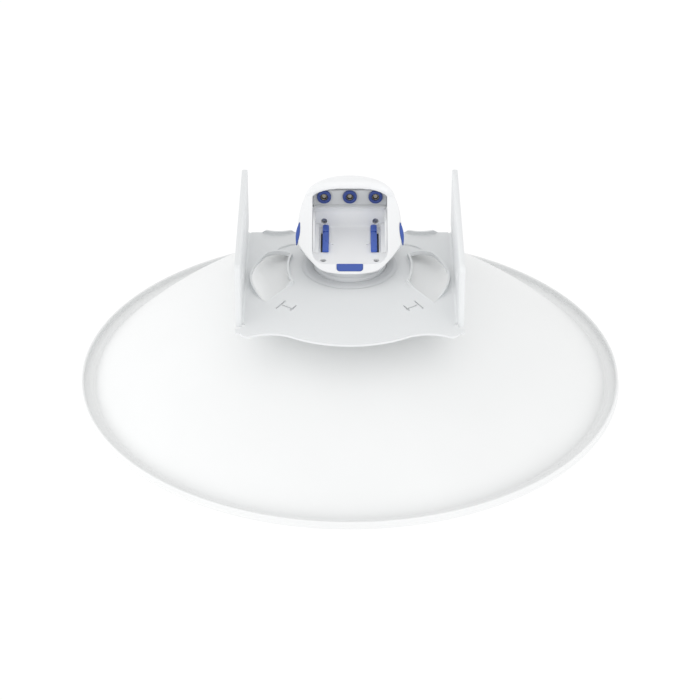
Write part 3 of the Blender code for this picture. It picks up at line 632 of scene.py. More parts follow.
thick.offset = -1.0 if middle_face.normal.z > 0 else 1.0
thick.use_even_offset = False
settled(bracket)
slits = []
for mirror in (1, -1):
    for start, end in SLIT_BARS:
        a, b = Vector((mirror * start[0], start[1])), Vector((mirror * end[0], end[1]))
        along = (b - a).normalized() * SLIT_WIDTH / 2
        across = Vector((-along.y, along.x))
        corners = [a - along - across, b + along - across, b + along + across, a - along + across]
        slits.append(solid("slit", [[tuple(c) for c in corners]], PLATE_BACK - 5, PLATE_BACK + 5))
cut(bracket, *slits)
extras = [bracket]
for mirror in (1, -1):
    tab_shape = rectangle(mirror * CORNER_TAB_ROOT, CORNER_TAB[0], mirror * CORNER_TAB_REACH, CORNER_TAB[1])
    tab_shape = fillets(tab_shape, [0.6] * 4)
    extras.append(solid("corner_tab", [tab_shape], PLATE_BACK - PLATE + 0.2, PLATE_BACK - 0.2))
    spine = [(mirror * x, y) for x, y in BEAD]
    spine = arc(*spine, 14) + spine[2:]
    ridge = bmesh.new()
    rings = []
    for i, (x, y) in enumerate(spine):
        ahead, behind = Vector(spine[min(i + 1, len(spine) - 1)]), Vector(spine[max(i - 1, 0)])
        way = (ahead - behind).normalized()
        size = math.sin(math.pi * (i + 0.15) / (len(spine) - 0.7)) ** 0.35
        ring = []
        for k in range(10):
            out = BEAD_HALF_WIDTH * size * math.cos(math.radians(20 * k))
            up = BEAD_RISE * size * math.sin(math.radians(20 * k))
            ring.append((x - way.y * out, y + way.x * out, PLATE_BACK - BEAD_SUNK + up))
        rings.append(ring)
    made = add_rings(ridge, rings)
    for end in (made[0], made[-1]):
        ridge.faces.new(end)
    bmesh.ops.recalc_face_normals(ridge, faces=ridge.faces)
    extras.append(as_object("bead", ridge))
bracket = eased(joined("bracket_sheet", extras), 0.35, angle=50, segments=2)
placed(bracket, ["mounting_bracket"], STEEL_COAT)

# Mount ring and neck: the moulded foot of the radio housing, light grey polycarbonate whose grey is painted
# shade from the housing above. A flat ring lies on the bracket, and a short neck with a groove for its seal
# carries the housing on it.

NECK_RADIUS = 43.0
# The neck's groove and its foot, as (inset, height above the plate).
NECK_STEPS = ((1.5, 9.0), (2.4, 8.2), (2.4, 7.2), (1.0, 6.4), (0.0, 5.0))
FEED_TUBE_RADIUS = 20.0
GAP = 0.3
HOUSING_BOTTOM = 155.0
RING_REACH, RING_RISE = 56.0, 1.5
RING_INNER_BEND, RING_OUTER_BEND = 47.0, 52.0

# Glass-filled polycarbonate, moulded against a fine spark-eroded tool: satin, with a grain of about 0.7 mm.
# Its grey is painted shade, for the shade that the housing's overhang casts on the foot.
FOOT_SHADE_GREY = surface("light_grey_polycarbonate", "#D2D4D6", 0.4, grain=0.7, depth=0.015)

ring_low = PLATE_BACK + GAP
ring_top = ring_low + RING_RISE
section = [(NECK_RADIUS + GAP, ring_top), (RING_INNER_BEND, ring_top), (RING_OUTER_BEND, ring_top - 0.4)]
section += [(RING_REACH, ring_low + 0.2), (RING_REACH, ring_low), (NECK_RADIUS + GAP, ring_low)]
section = fillets(section, [0.3, 6.0, 6.0, 0.1, 0.05, 0.2], steps=6)
# The foot's grey is painted shade from the housing above.
placed(turned("foot_ring", section, 120, FOOT_SHADE_GREY), ["mount_ring"])
neck_top = HOUSING_BOTTOM - GAP
section = [(FEED_TUBE_RADIUS + GAP, neck_top), (NECK_RADIUS - NECK_STEPS[0][0], neck_top)]
section += [(NECK_RADIUS - inset, PLATE_BACK + height) for inset, height in NECK_STEPS]
section += [(NECK_RADIUS, ring_low), (FEED_TUBE_RADIUS + GAP, ring_low)]
section = fillets(section, [0.3, 0.3, 0.2, 0.2, 0.2, 0.3, 0.6, 0.1, 0.2], steps=3)
placed(turned("foot_neck", section, 120, FOOT_SHADE_GREY), ["housing_neck"])

# Radio housing: one moulding of white polycarbonate, with a hood over the ports, a slope round the open
# pocket and walls that draw in below it. Its edges are well rounded. The pocket's rear wall swells forward
# under the port panel, and there are slots for the latches, holes for screws and recesses for the tabs.

# The same plastic as the foot's, in white.
POLYCARBONATE = surface("white_polycarbonate", "#EDEEEF", 0.36, grain=0.7, depth=0.015)

OUTLINE_ARCS = (
    ((0.0, -50.4), (14.0, -50.0), (27.5, -47.8), 12),
    ((27.5, -47.8), (36.5, -43.6), (43.5, -37.6), 10),
    ((43.5, -37.6), (53.0, -27.0), (61.0, -16.0), 14),
    ((61.0, -16.0), (61.2, -3.0), (60.3, 12.0), 14),
    ((60.3, 12.0), (57.6, 27.0), (51.5, 45.0), 14),
    ((51.5, 45.0), (41.5, 61.0), (24.0, 73.5), 14),
    ((24.0, 73.5), (12.0, 77.6), (0.0, 78.6), 10),
)
SHOULDER = 204.0
CROWN = (
    (205.0, 1.0),
    (210.0, 0.995),
    (214.8, 0.985),
    (218.2, 0.97),
    (220.8, 0.952),
    (222.9, 0.93),
    (224.3, 0.905),
    (225.6, 0.865),
    (226.3, 0.82),
    (226.9, 0.75),
    (227.3, 0.68),
    (227.7, 0.5),
    (227.9, 0.25),
)
CROWN_CENTRE_Y = 12.0
FOOT_RADIUS = 4.0
ABOVE_SLOPE = 1.0
SLOPE_START = (-50.0, 159.0)
SLOPE_RISE = 0.625
HOOD_FRONT, HOOD_SIDE, HOOD_CURVE = 46.2, 38.0, 3.6
HOOD_ROUND = 6.5
HOOD_TOP, HOOD_DROP = 227.4, 2.8
BEYOND_FRONT, BEYOND_SIDE = -95.0, 78
BEYOND_TOPS = (250.0, 300.0)
POCKET_HALF_WIDTH, POCKET_FLOOR = 44.0, 165.0
POCKET_FRONT, POCKET_REAR, POCKET_CORNER = -38.0, 53.0, 15.0
PANEL_LOW = 197.0
RAIL_FRONT, RAIL_LOW, RAIL_HIGH = 48.4, 194.0, 196.8
SWELL_LOW, SWELL_MIDDLE = 183.0, (52.1, 188.4)
VOXEL = 0.85


def slope_height(y):
    return SLOPE_START[1] + SLOPE_RISE * (y - SLOPE_START[0])


def lean(x, y):
    """How far the wall runs inwards for each millimetre down: most under the front lip, none behind."""
    at_side = 0.25 * (1 - ease(y, 0, 12)) + 0.5 * ease(-y, 0, 25)
    return at_side + 0.95 * (1 - ease(abs(x), 15, 44)) * ease(-y, 20, 35)


def wall_ring(outline, depth):
    """The outline lowered by a share of the wall's height, from its top at 0 to its foot at 1."""
    points = []
    for i, (x, y) in enumerate(outline):
        (ax, ay), (bx, by) = outline[i - 1], outline[(i + 1) % len(outline)]
        length = math.dist((ax, ay), (bx, by))
        normal = ((by - ay) / length, (ax - bx) / length)
        top = min(slope_height(y) + ABOVE_SLOPE, SHOULDER)
        z = top - depth * (top - HOUSING_BOTTOM)
        inward = lean(x, y) * (top - ABOVE_SLOPE - z)
        inward += FOOT_RADIUS * ease(HOUSING_BOTTOM + FOOT_RADIUS - z, 0, FOOT_RADIUS) * ease(y, -20, 0)
        points.append((x - inward * normal[0], y - inward * normal[1], z))
    return points


def hood_edge(x):
    """The y of the hood's front edge, which bows forward to the pocket's sides."""
    share = min(1.0, abs(x) / POCKET_HALF_WIDTH)
    return HOOD_FRONT - (HOOD_FRONT - HOOD_SIDE) * share**HOOD_CURVE


half_plan = []
for start, middle, end, steps in OUTLINE_ARCS:
    half_plan += arc(start, middle, end, steps)
half_plan.append(OUTLINE_ARCS[-1][2])
housing_plan = half_plan + [(-x, y) for x, y in reversed(half_plan[1:-1])]
rings = [wall_ring(housing_plan, depth) for depth in (1.0, 0.99, 0.97, 0.94, 0.9, 0.8, 0.6, 0.4, 0.2, 0.0)]
for height, scale in CROWN:
    drawn_in = [(scale * x, CROWN_CENTRE_Y + scale * (y - CROWN_CENTRE_Y)) for x, y in housing_plan]
    rings.append([(x, y, height) for x, y in drawn_in])
body = bmesh.new()
capped(body, rings)
housing = as_object("radio_body", body)

# The open side: everything above the slope in front of the hood, whose front edge is rounded over.
rings = []
for i in range(73):
    x = BEYOND_SIDE * i / 36 - BEYOND_SIDE
    edge = hood_edge(x)
    crown_top = HOOD_TOP - HOOD_DROP * min(1.6, (abs(x) / POCKET_HALF_WIDTH) ** 4)
    ring = [(x, BEYOND_FRONT, slope_height(BEYOND_FRONT)), (x, edge, slope_height(edge))]
    for step in range(9):
        a = math.radians(90 * step / 8)
        over = HOOD_ROUND * (1 - math.cos(a))
        ring.append((x, edge + over, crown_top - HOOD_ROUND * (1 - math.sin(a))))
    ring += [(x, edge + HOOD_ROUND + 3, top) for top in BEYOND_TOPS]
    ring.append((x, BEYOND_FRONT, BEYOND_TOPS[1]))
    rings.append(ring)
body = bmesh.new()
capped(body, rings)
slope_cut = as_object("slope_cut", body)

hood_xs = [POCKET_HALF_WIDTH * (1 - 2 * i / 40) for i in range(41)]
pocket_plan = fillets(
    [(-POCKET_HALF_WIDTH, POCKET_FRONT), (POCKET_HALF_WIDTH, POCKET_FRONT)]
    + [(x, hood_edge(x) - GAP) for x in hood_xs],
    [POCKET_CORNER, POCKET_CORNER] + [0] * len(hood_xs),
    steps=12,
)
pocket_cut = solid("pocket_cut", [pocket_plan], POCKET_FLOOR, 280.0)


def arch(inset, low):
    """The opening under the hood, seen from the front: upright sides and an arched top."""
    share = 1 - inset / POCKET_HALF_WIDTH
    top = [(share * x, slope_height(hood_edge(x)) + 0.4 - inset) for x in hood_xs]
    return [(top[-1][0], low), (top[0][0], low)] + top


arch_cut = solid("arch_cut", [arch(0.1, PANEL_LOW)], HOOD_SIDE - 5, POCKET_REAR, axis="y")

# The pocket's rear end, with the swelling and the room for the panel's rail above it.
swell_top = (RAIL_FRONT + 0.1, RAIL_LOW - GAP)
swell = arc((POCKET_REAR, SWELL_LOW), SWELL_MIDDLE, swell_top, 10) + [swell_top]
room = [(HOOD_SIDE - 8, PANEL_LOW + 1), (HOOD_SIDE - 8, POCKET_FLOOR), (POCKET_REAR, POCKET_FLOOR)]
room += swell + [(POCKET_REAR, RAIL_LOW - GAP), (POCKET_REAR, PANEL_LOW + 1)]
room = fillets(room, [0, 0, 3.0] + [0] * (len(swell) + 2), steps=6)
half = POCKET_HALF_WIDTH - 0.1
rear_cut = solid("rear_cut", [room], -half, half, axis="x")
for cutter in (slope_cut, pocket_cut, arch_cut, rear_cut):
    cut(housing, cutter, solver="MANIFOLD")
melt = housing.modifiers.new("skin", "REMESH")
melt.mode = "VOXEL"
melt.voxel_size = VOXEL
ironed = housing.modifiers.new("rounding", "SMOOTH")
ironed.factor = 0.5
ironed.iterations = 5
settled(housing)

slope_angle = math.atan(SLOPE_RISE)
FLOOR_SCREW = (31.0, -28.5)
WALL_SCREW = (30.6, 173.0)
SCREW_HOLE, SCREW_CHAMBER = 3.6, 4.2
SCREW_DEPTH, SLOT_DEPTH = 4.5, 5.5
TAB_HALF_WIDTH, TAB_LENGTH, TAB_FROM_EDGE = 15.3, 9.7, 8.4
TAB_PROUD, TAB_SUNK = 0.6, 2.4
SIDE_TAB_LOW, SIDE_TAB_HIGH = 40.4, 68.6
SIDE_TAB_MIDDLE = (SIDE_TAB_LOW + SIDE_TAB_HIGH) / 2
SIDE_TAB_INNER = ((58.7, SIDE_TAB_HIGH), (58.7, 54.5), (61.7, SIDE_TAB_LOW))
SIDE_TAB_OUTER = ((62.7, SIDE_TAB_LOW), (63.1, 54.5), (59.3, SIDE_TAB_HIGH))
SIDE_TAB_DEPTH = 5.0
LATCH_INNER, LATCH_ARM, LATCH_OUTER = 24.8, 32.1, 34.3
LATCH_FRONT, LATCH_SHOULDER, LATCH_REAR = -10.0, 37.8, 52.5
LATCH_TOP = 168.6
PAD_INNER, PAD_FRONT, PAD_RISE = 22.1, 10.6, 1.1
MARK_INNER, MARK_OUTER, MARK_FRONT, MARK_REAR = 19.3, 22.0, 8.7, 10.3


def on_slope(distance):
    """Lays a flat shape on the slope, this far up from its front edge."""
    along = Vector((0, math.cos(slope_angle), math.sin(slope_angle))) * distance
    start = Vector((0, *SLOPE_START))
    return Matrix.Translation(start + along) @ Matrix.Rotation(slope_angle, 4, "X")


def lip_tab(name, grow, bottom, top):
    """The release tab's shape in the slope's plane, with round lower corners."""
    x, y = TAB_HALF_WIDTH + grow, TAB_LENGTH / 2 + grow
    outline = fillets(rectangle(-x, -y, x, y), [4.2, 4.2, 1.0, 1.0], steps=8)
    made = solid(name, [outline], bottom, top)
    made.data.transform(on_slope(TAB_FROM_EDGE))
    return made


def side_tab(name, side, grow, bottom, top):
    """A thin crescent in the slope's plane, its outer side a little proud of the wall."""
    lens = arc(*SIDE_TAB_OUTER, 14) + [SIDE_TAB_OUTER[2]]
    lens += arc(*SIDE_TAB_INNER, 14) + [SIDE_TAB_INNER[2]]
    lens = offset([(x, d - SIDE_TAB_MIDDLE) for x, d in lens], grow)
    made = solid(name, [lens if side > 0 else mirrored(lens)], bottom, top)
    made.data.transform(on_slope(SIDE_TAB_MIDDLE))
    return made


openings = [lip_tab("recess", GAP, -TAB_SUNK - GAP, 8.0)]
for side in (1, -1):
    openings.append(side_tab("recess", side, GAP, -SIDE_TAB_DEPTH - GAP, 6.0))
    hole = circle((side * FLOOR_SCREW[0], FLOOR_SCREW[1]), SCREW_HOLE, 40)
    openings.append(solid("hole", [hole], POCKET_FLOOR - SCREW_DEPTH, POCKET_FLOOR + 6))
    middle = (side * WALL_SCREW[0], WALL_SCREW[1])
    hole = circle(middle, SCREW_HOLE, 40)
    openings.append(solid("hole", [hole], POCKET_REAR - 6, POCKET_REAR + SCREW_DEPTH, axis="y"))
    hole = circle(middle, SCREW_CHAMBER, 40)
    openings.append(solid("hole", [hole], POCKET_REAR + 1.0, POCKET_REAR + SCREW_DEPTH + 0.2, axis="y"))
    hole = rectangle(side * (LATCH_INNER + 0.8), LATCH_FRONT + 0.6, side * LATCH_OUTER, LATCH_SHOULDER)
    openings.append(solid("slot", [hole], POCKET_FLOOR - SLOT_DEPTH, POCKET_FLOOR + 3))
    hole = rectangle(side * MARK_INNER, MARK_FRONT, side * MARK_OUTER, MARK_REAR)
    openings.append(solid("mark", [hole], POCKET_FLOOR - 2.0, POCKET_FLOOR + 3))
cut(housing, *openings, solver="MANIFOLD")
seats = [housing]
for side in (1, -1):
    pad = rectangle(side * PAD_INNER, PAD_FRONT, side * (LATCH_INNER - GAP), POCKET_REAR)
    seats.append(solid("latch_pad", [fillets(pad, [0.3] * 4)], POCKET_FLOOR - 1.0, POCKET_FLOOR + PAD_RISE))
housing = joined("radio_body", seats)
placed(housing, ["radio_housing"], POLYCARBONATE, sharp=50)

# Port panel: a flat polycarbonate plate behind the hood's arch, clipped in, with a hole for each socket and
# a rail along its foot.

PANEL_FRONT, PANEL_TOP = 49.0, 216.3
PORT_PITCH, PORT_HEIGHT = 30.5, 208.4
SOCKET_RADIUS = 4.2

# The panel's polycarbonate is a deeper grey than the foot's: painted shade, for the shade of the hood above
# it.
PANEL_SHADE_GREY = surface("grey_polycarbonate", "#C1C3C4", 0.42, grain=0.7, depth=0.015)

PANEL_BACK = POCKET_REAR - GAP
PORTS = (("left", -PORT_PITCH), ("centre", 0.0), ("right", PORT_PITCH))
panel_holes = [circle((x, PORT_HEIGHT), SOCKET_RADIUS + GAP, 40) for _, x in PORTS]
panel_shape = [(x, min(z, PANEL_TOP)) for x, z in arch(0.5, PANEL_LOW)]
panel = solid("plate", [panel_shape] + panel_holes, PANEL_FRONT, PANEL_BACK, axis="y")
rail = rectangle(RAIL_FRONT, RAIL_LOW, PANEL_BACK, RAIL_HIGH)
rail = solid("rail", [rail], 1 - POCKET_HALF_WIDTH, POCKET_HALF_WIDTH - 1, axis="x")
panel = joined("port_plate", [panel, rail])
# The panel's grey finish is painted shade from the hood.
placed(eased(panel, 0.5, angle=30), ["port_panel"], PANEL_SHADE_GREY)

# Port seals: three blue silicone rings that the radio's sockets press against, round outside with a flat
# face and a rounded inner lip.

SEAL_RADIUS, SEAL_HOLE, SEAL_THICKNESS = 8.4, 4.5, 3.2

# Silicone rubber, moulded: deep blue and smooth, a little softer in its shine than the hard plastic.
SILICONE = surface("blue_silicone", "#283E80", 0.45, grain=0.4, depth=0.01, mottle=0.03)

TO_FRONT = Matrix.Rotation(math.pi / 2, 4, "X")
section = [(SEAL_HOLE, SEAL_THICKNESS - 0.8), (SEAL_HOLE + 1.0, SEAL_THICKNESS)]
section += [(SEAL_RADIUS, SEAL_THICKNESS), (SEAL_RADIUS, 0), (SEAL_HOLE, 0)]
section = fillets(section, [0.5, 0.5, 1.4, 0.2, 0.2])
for word, x in PORTS:
    seal = turned("seal_" + word, section, 72, SILICONE)
    seat = Matrix.Translation((x, PANEL_FRONT - GAP, PORT_HEIGHT)) @ TO_FRONT
    placed(seal, ["port_seal_" + word], turn=TO_FRAME @ seat)

# Coaxial sockets: turned brass bodies with a fine thread outside and a plain bore, plated. In each one a
# black sleeve of painted shade, for the dark of the deep bore, holds a pale insulator, whose small hole
# takes the pin of the radio's plug.

SOCKET_LENGTH, SOCKET_RING = 6.0, 3.7
THREAD_RADIUS, THREAD_PITCH, THREAD_DEPTH = 3.75, 0.7, 0.38
BORE_RADIUS, BORE_FLOOR = 3.05, 0.8
SHADE_SLEEVE_WALL = 0.3
JACK_RADIUS, JACK_TOP = 2.3, 4.0
PIN_HOLE, PIN_DEPTH = 0.55, 1.2

# Brass with a thin gold-coloured plating, turned: bright, with fine rings from the tool.
PLATED_BRASS = surface("plated_brass", "#BDB196", 0.26, metallic=1.0, grain=0.5, depth=0.01)
# PTFE, turned: waxy. Its grey is painted shade, for its place deep in the bore.
INSULATOR = surface("ptfe_insulator", "#ABA79E", 0.5, grain=0.6, depth=0.01)
# Matt black, painted shade: it fills the socket bores and the latch slots, where only shadow would be dark.
SHADE_BLACK = surface("black_nylon", "#1B1C1E", 0.55, grain=0.6, depth=0.015)


def two_tone(name, first, second, finishes):
    """Two bodies as one object, each with its own finish."""
    shape = bmesh.new()
    shape.from_mesh(first.data)
    bound = len(shape.faces)
    shape.from_mesh(second.data)
    for i, face in enumerate(shape.faces):
        face.material_index = int(i >= bound)
    for obj in (first, second):
        bpy.data.objects.remove(obj)
    made = as_object(name, shape)
    for finish in finishes:
        made.data.materials.append(finish)
    return made


for word, x in PORTS:
    outer = [(THREAD_RADIUS - 0.35, SOCKET_LENGTH), (THREAD_RADIUS, SOCKET_LENGTH - 0.3)]
    for i in range(2):
        top = SOCKET_LENGTH - 0.6 - THREAD_PITCH * i
        outer += [(THREAD_RADIUS - THREAD_DEPTH, top), (THREAD_RADIUS, top - THREAD_PITCH / 2)]
    outer += [(THREAD_RADIUS - 0.3, SOCKET_RING + 0.2), (SOCKET_RADIUS, SOCKET_RING)]
    section = [(0, BORE_FLOOR), (BORE_RADIUS, BORE_FLOOR), (BORE_RADIUS, SOCKET_LENGTH - 0.2)]
    section += [(BORE_RADIUS + 0.15, SOCKET_LENGTH)] + outer + [(SOCKET_RADIUS, 0), (0, 0)]
    seat = Matrix.Translation((x, PANEL_BACK, PORT_HEIGHT)) @ TO_FRONT
    shell = turned("socket_" + word, section, 48, PLATED_BRASS, closed=False)
    placed(shell, ["coax_socket_" + word], turn=TO_FRAME @ seat)
    floor = BORE_FLOOR + 0.1
    section = [(0, JACK_TOP - PIN_DEPTH), (PIN_HOLE, JACK_TOP - PIN_DEPTH), (PIN_HOLE, JACK_TOP)]
    section += [(JACK_RADIUS - 0.3, JACK_TOP), (JACK_RADIUS, JACK_TOP - 0.3)]
    section += [(JACK_RADIUS, floor + 0.7), (0, floor + 0.7)]
    jack = turned("jack", section, 40, INSULATOR, closed=False)
    # The black sleeve round the insulator is painted shade, for the dark of the deep bore.
    liner, rim = BORE_RADIUS - 0.05, SOCKET_LENGTH - 0.5
    section = [(0, floor + 0.6), (liner - SHADE_SLEEVE_WALL, floor + 0.6), (liner - SHADE_SLEEVE_WALL, rim), (liner, rim)]
    section += [(liner, floor), (0, floor)]
    cup = turned("liner", section, 48, SHADE_BLACK, closed=False)
    core = two_tone("core_" + word, jack, cup, (INSULATOR, SHADE_BLACK))
    placed(core, ["socket_core_" + word], turn=TO_FRAME @ seat)

# Latches: two sprung strips of blue acetal over slots in the pocket's floor, with a round rear end, a notch
# where the radio's hook catches and a small dimple. A black block of painted shade lies in each slot, under
# the strip and beside it, for the dark of the slot's depth. They hold the radio in the bay.

NOTCH_INNER, GROOVE_OUTER = 29.9, 30.4
DIMPLE = (28.4, 12.0)

# Acetal, moulded: an even mid blue with a slight shine and a grain of about 0.6 mm.
ACETAL = surface("blue_acetal", "#3D59A8", 0.38, grain=0.6, depth=0.012, mottle=0.04)
# The same for the latches, in a lighter blue that paints in light the pocket's floor does not get.
LIT_ACETAL = surface("light_blue_acetal", "#4363BC", 0.36, grain=0.6, depth=0.012, mottle=0.04)


for side, word in ((-1, "left"), (1, "right")):
    plan = rectangle(side * LATCH_INNER, LATCH_FRONT, side * LATCH_ARM, LATCH_REAR)
    arm = solid("arm", [fillets(plan, [0.8, 0.8, 3.0, 3.0], steps=8)], POCKET_FLOOR + GAP, LATCH_TOP)
    notch = (side * NOTCH_INNER, LATCH_SHOULDER - 4.6, side * (LATCH_OUTER + 1), LATCH_SHOULDER - 0.4)
    notch = solid("notch", [rectangle(*notch)], POCKET_FLOOR - 1.0, LATCH_TOP + 1)
    groove = (side * (LATCH_INNER - 1), LATCH_SHOULDER - 3.6, side * GROOVE_OUTER, LATCH_SHOULDER - 1.4)
    groove = solid("groove", [rectangle(*groove)], LATCH_TOP - 1.2, LATCH_TOP + 1)
    dimple = circle((side * DIMPLE[0], DIMPLE[1]), 0.8, 20)
    dimple = solid("dimple", [dimple], LATCH_TOP - 0.8, LATCH_TOP + 1)
    eased(cut(arm, notch, groove, dimple), 0.4)
    # The black block under and beside the strip is painted shade, for the dark of the slot's depth.
    slide = (LATCH_INNER + 1.1, LATCH_OUTER - GAP)
    slide = rectangle(side * slide[0], LATCH_FRONT + 0.9, side * slide[1], LATCH_SHOULDER - GAP)
    slide = solid("slide", [slide], POCKET_FLOOR - SLOT_DEPTH + GAP, POCKET_FLOOR - 0.9)
    strip = two_tone("latch_strip_" + word, arm, slide, (LIT_ACETAL, SHADE_BLACK))
    placed(strip, ["latch_" + word])

# Guides: two ribs at the pocket's sides that steer the radio, moulded in the housing's polycarbonate, with
# a low foot and an upright edge.

GUIDE_FRONT, GUIDE_REAR = -11.0, POCKET_REAR - GAP
GUIDE_WALL = (41.2, POCKET_HALF_WIDTH - GAP)
GUIDE_FOOT = 36.5
GUIDE_BELOW_SLOPE = 8.0
GUIDE_RAMP = ((GUIDE_FRONT + 0.05, 0.06), (GUIDE_FRONT + 14, 1.0), (GUIDE_REAR - 0.05, 1.0))
rail_low = POCKET_FLOOR + GAP
guide_top = RAIL_LOW - 1
wall_shape = [(GUIDE_FRONT, rail_low), (GUIDE_REAR, rail_low), (GUIDE_REAR, SWELL_LOW)]
wall_shape += [(RAIL_FRONT - 1.5, guide_top)]
wall_shape += [((guide_top + GUIDE_BELOW_SLOPE - SLOPE_START[1]) / SLOPE_RISE + SLOPE_START[0], guide_top)]
wall_shape += [(GUIDE_FRONT + 8, slope_height(GUIDE_FRONT + 8) - GUIDE_BELOW_SLOPE)]
wall_shape = fillets(wall_shape, [0.3, 0.3, 0.3, 0.8, 1.5, 3.0])
foot_shape = [(GUIDE_FOOT, 0), (GUIDE_WALL[0] + 1, 0), (GUIDE_WALL[0] + 1, 6)]
foot_shape += [(GUIDE_WALL[0] - 0.6, 5.4), (GUIDE_FOOT, 4.6)]
foot_shape = fillets(foot_shape, [0.2, 0.1, 0.1, 0.8, 0.8])
for side, word in ((-1, "left"), (1, "right")):
    wall = solid("guide_wall", [wall_shape], *sorted(side * x for x in GUIDE_WALL), axis="x")
    body = bmesh.new()
    capped(body, [[(side * x, y, rail_low + z * rise) for x, z in foot_shape] for y, rise in GUIDE_RAMP])
    foot = as_object("guide_foot", body)
    cut(wall, foot, operation="UNION")
    wall.name = "guide_" + word
    placed(eased(wall, 0.4), ["guide_rail_" + word], POLYCARBONATE)

# Screws of the pocket: four zinc-plated steel screws deep in round holes, two in the floor and two in the
# rear wall, with a six-lobed drive. One tree sets a screw at each of the given points.

# Zinc plating on steel, passivated: pale grey, with fine cloudiness.
ZINC = surface("zinc_plated_steel", "#A9ABAE", 0.38, metallic=1.0, grain=0.5, depth=0.01, mottle=0.08)

copying, given = new_tree(
    "screws_at_points",
    [("Points", "Geometry"), ("Screw", "Object"), ("Turn", "Vector"), ("Finish", "Material")],
)
pattern = add_node(copying, "GeometryNodeObjectInfo", {"Object": given["Screw"]})
copies = {"Points": given["Points"], "Instance": pattern.outputs["Geometry"], "Rotation": given["Turn"]}
copies = add_node(copying, "GeometryNodeInstanceOnPoints", copies)
close_tree(copying, copies.outputs[0], given["Finish"])


def screw_head(radius, height, drive):
    """A low round head with a six-lobed recess, its seat at height 0."""
    section = [(0, height), (radius - 0.6, height), (radius, height - 0.9), (radius, 0), (0, 0)]
    section = fillets(section, [0, 0.5, 0.4, 0.1, 0], closed=False)
    head = turned("screw_head", section, 40, ZINC, closed=False)
    lobes = []
    for a in range(0, 360, 10):
        lobes.append(polar((0, 0), drive * (0.86 + 0.14 * math.cos(math.radians(6 * a))), a))
    return cut(head, solid("drive", [lobes], height - 0.9, height + 1))


def screws(name, pattern, points, turn, nodes):
    """One object with a screw at each point, turned alike."""
    mesh = bpy.data.meshes.new(name + "_points")
    mesh.from_pydata(points, [], [])
    made = made_by(copying, name, mesh, {"Screw": pattern, "Turn": turn, "Finish": ZINC})
    return placed(made, nodes, sharp=40)


head = screw_head(radius=SCREW_HOLE - GAP, height=2.0, drive=1.5)
low = POCKET_FLOOR - SCREW_DEPTH + GAP
points = [(side * FLOOR_SCREW[0], FLOOR_SCREW[1], low) for side in (-1, 1)]
screws("floor_screws", head, points, (0, 0, 0), ["floor_screw_left", "floor_screw_right"])
deep = POCKET_REAR + SCREW_DEPTH - GAP
points = [(side * WALL_SCREW[0], deep, WALL_SCREW[1]) for side in (-1, 1)]
screws("wall_screws", head, points, (math.pi / 2, 0, 0), ["wall_screw_left", "wall_screw_right"])
bpy.data.objects.remove(head)

# Release tab and side tabs: blue acetal buttons let into the housing, one on the front lip and a crescent
# on each side of the slope. Pressed together they free the radio.

tab = lip_tab("lip_button", 0, -TAB_SUNK, TAB_PROUD)
placed(eased(tab, 0.8, segments=5), ["release_tab"], ACETAL)
for side, word in ((-1, "left"), (1, "right")):
    crescent = side_tab("side_button_" + word, side, 0, -SIDE_TAB_DEPTH, 0.2)
    placed(eased(crescent, 0.25, segments=2), ["side_tab_" + word], ACETAL)

# Feed: a waveguide tube through the bowl's hub, closed by the housing behind and by a round cap at the
# focus. A flange with four screws holds it in the hub, and a collar steadies the cap. All but the screws
# are white polycarbonate.

FLANGE_THICKNESS = 4.0
FLANGE_EDGE = 46.0
TUBE_FRONT, TUBE_WALL = 12.0, 2.5
CAP_RADIUS, CAP_BACK, CAP_FRONT = 37.0, 18.0, -20.0
CAP_GROOVE, CAP_GROOVE_BACK = 0.7, 3.6
# The collar's slope, as (radius, height).
COLLAR_STEPS = ((22.5, 30.0), (24.2, 25.0), (29.0, CAP_BACK + GAP))
HUB_SCREW_CIRCLE = 36.0

tube_edge = FEED_TUBE_RADIUS + GAP
flange_back = hub - SHEET - GAP
flange_front = flange_back - FLANGE_THICKNESS
section = [(tube_edge, flange_back), (FLANGE_EDGE, flange_back), (FLANGE_EDGE, flange_front + 1.4)]
section += [(FLANGE_EDGE - 1.4, flange_front), (tube_edge, flange_front)]
flange = turned("hub_flange", fillets(section, [0.2, 0.3, 0.8, 0.8, 0.4]), 96, POLYCARBONATE)
placed(flange, ["feed_flange"])
section = [(FEED_TUBE_RADIUS - TUBE_WALL, neck_top), (FEED_TUBE_RADIUS, neck_top)]
section += [(FEED_TUBE_RADIUS, TUBE_FRONT), (FEED_TUBE_RADIUS - TUBE_WALL, TUBE_FRONT)]
tube = turned("waveguide_tube", fillets(section, [0.3] * 4), 80, POLYCARBONATE)
placed(tube, ["feed_tube"])
section = [(tube_edge, COLLAR_STEPS[0][1]), *COLLAR_STEPS, (tube_edge, CAP_BACK + GAP)]
collar = turned("cap_collar", fillets(section, [0.2, 0.8, 3.0, 0.3, 0.2]), 80, POLYCARBONATE)
placed(collar, ["feed_collar"])
section = [(0, TUBE_FRONT - GAP), (tube_edge, TUBE_FRONT - GAP), (tube_edge, CAP_BACK)]
section += [(CAP_RADIUS, CAP_BACK), (CAP_RADIUS, CAP_BACK - CAP_GROOVE_BACK)]
section += [(CAP_RADIUS - CAP_GROOVE, CAP_BACK - CAP_GROOVE_BACK - step) for step in (0.6, 1.4)]
section += [(CAP_RADIUS, CAP_BACK - CAP_GROOVE_BACK - 2.0), (CAP_RADIUS, CAP_FRONT + 5)]
section += [(CAP_RADIUS - 12, CAP_FRONT + 0.8), (0, CAP_FRONT)]
rounding = [0, 0.2, 0.3, 3.0, 0.2, 0.2, 0.2, 0.2, 7.0, 20.0, 0]
section = fillets(section, rounding, steps=8, closed=False)
cap = turned("radome_cap", section, 112, POLYCARBONATE, closed=False)
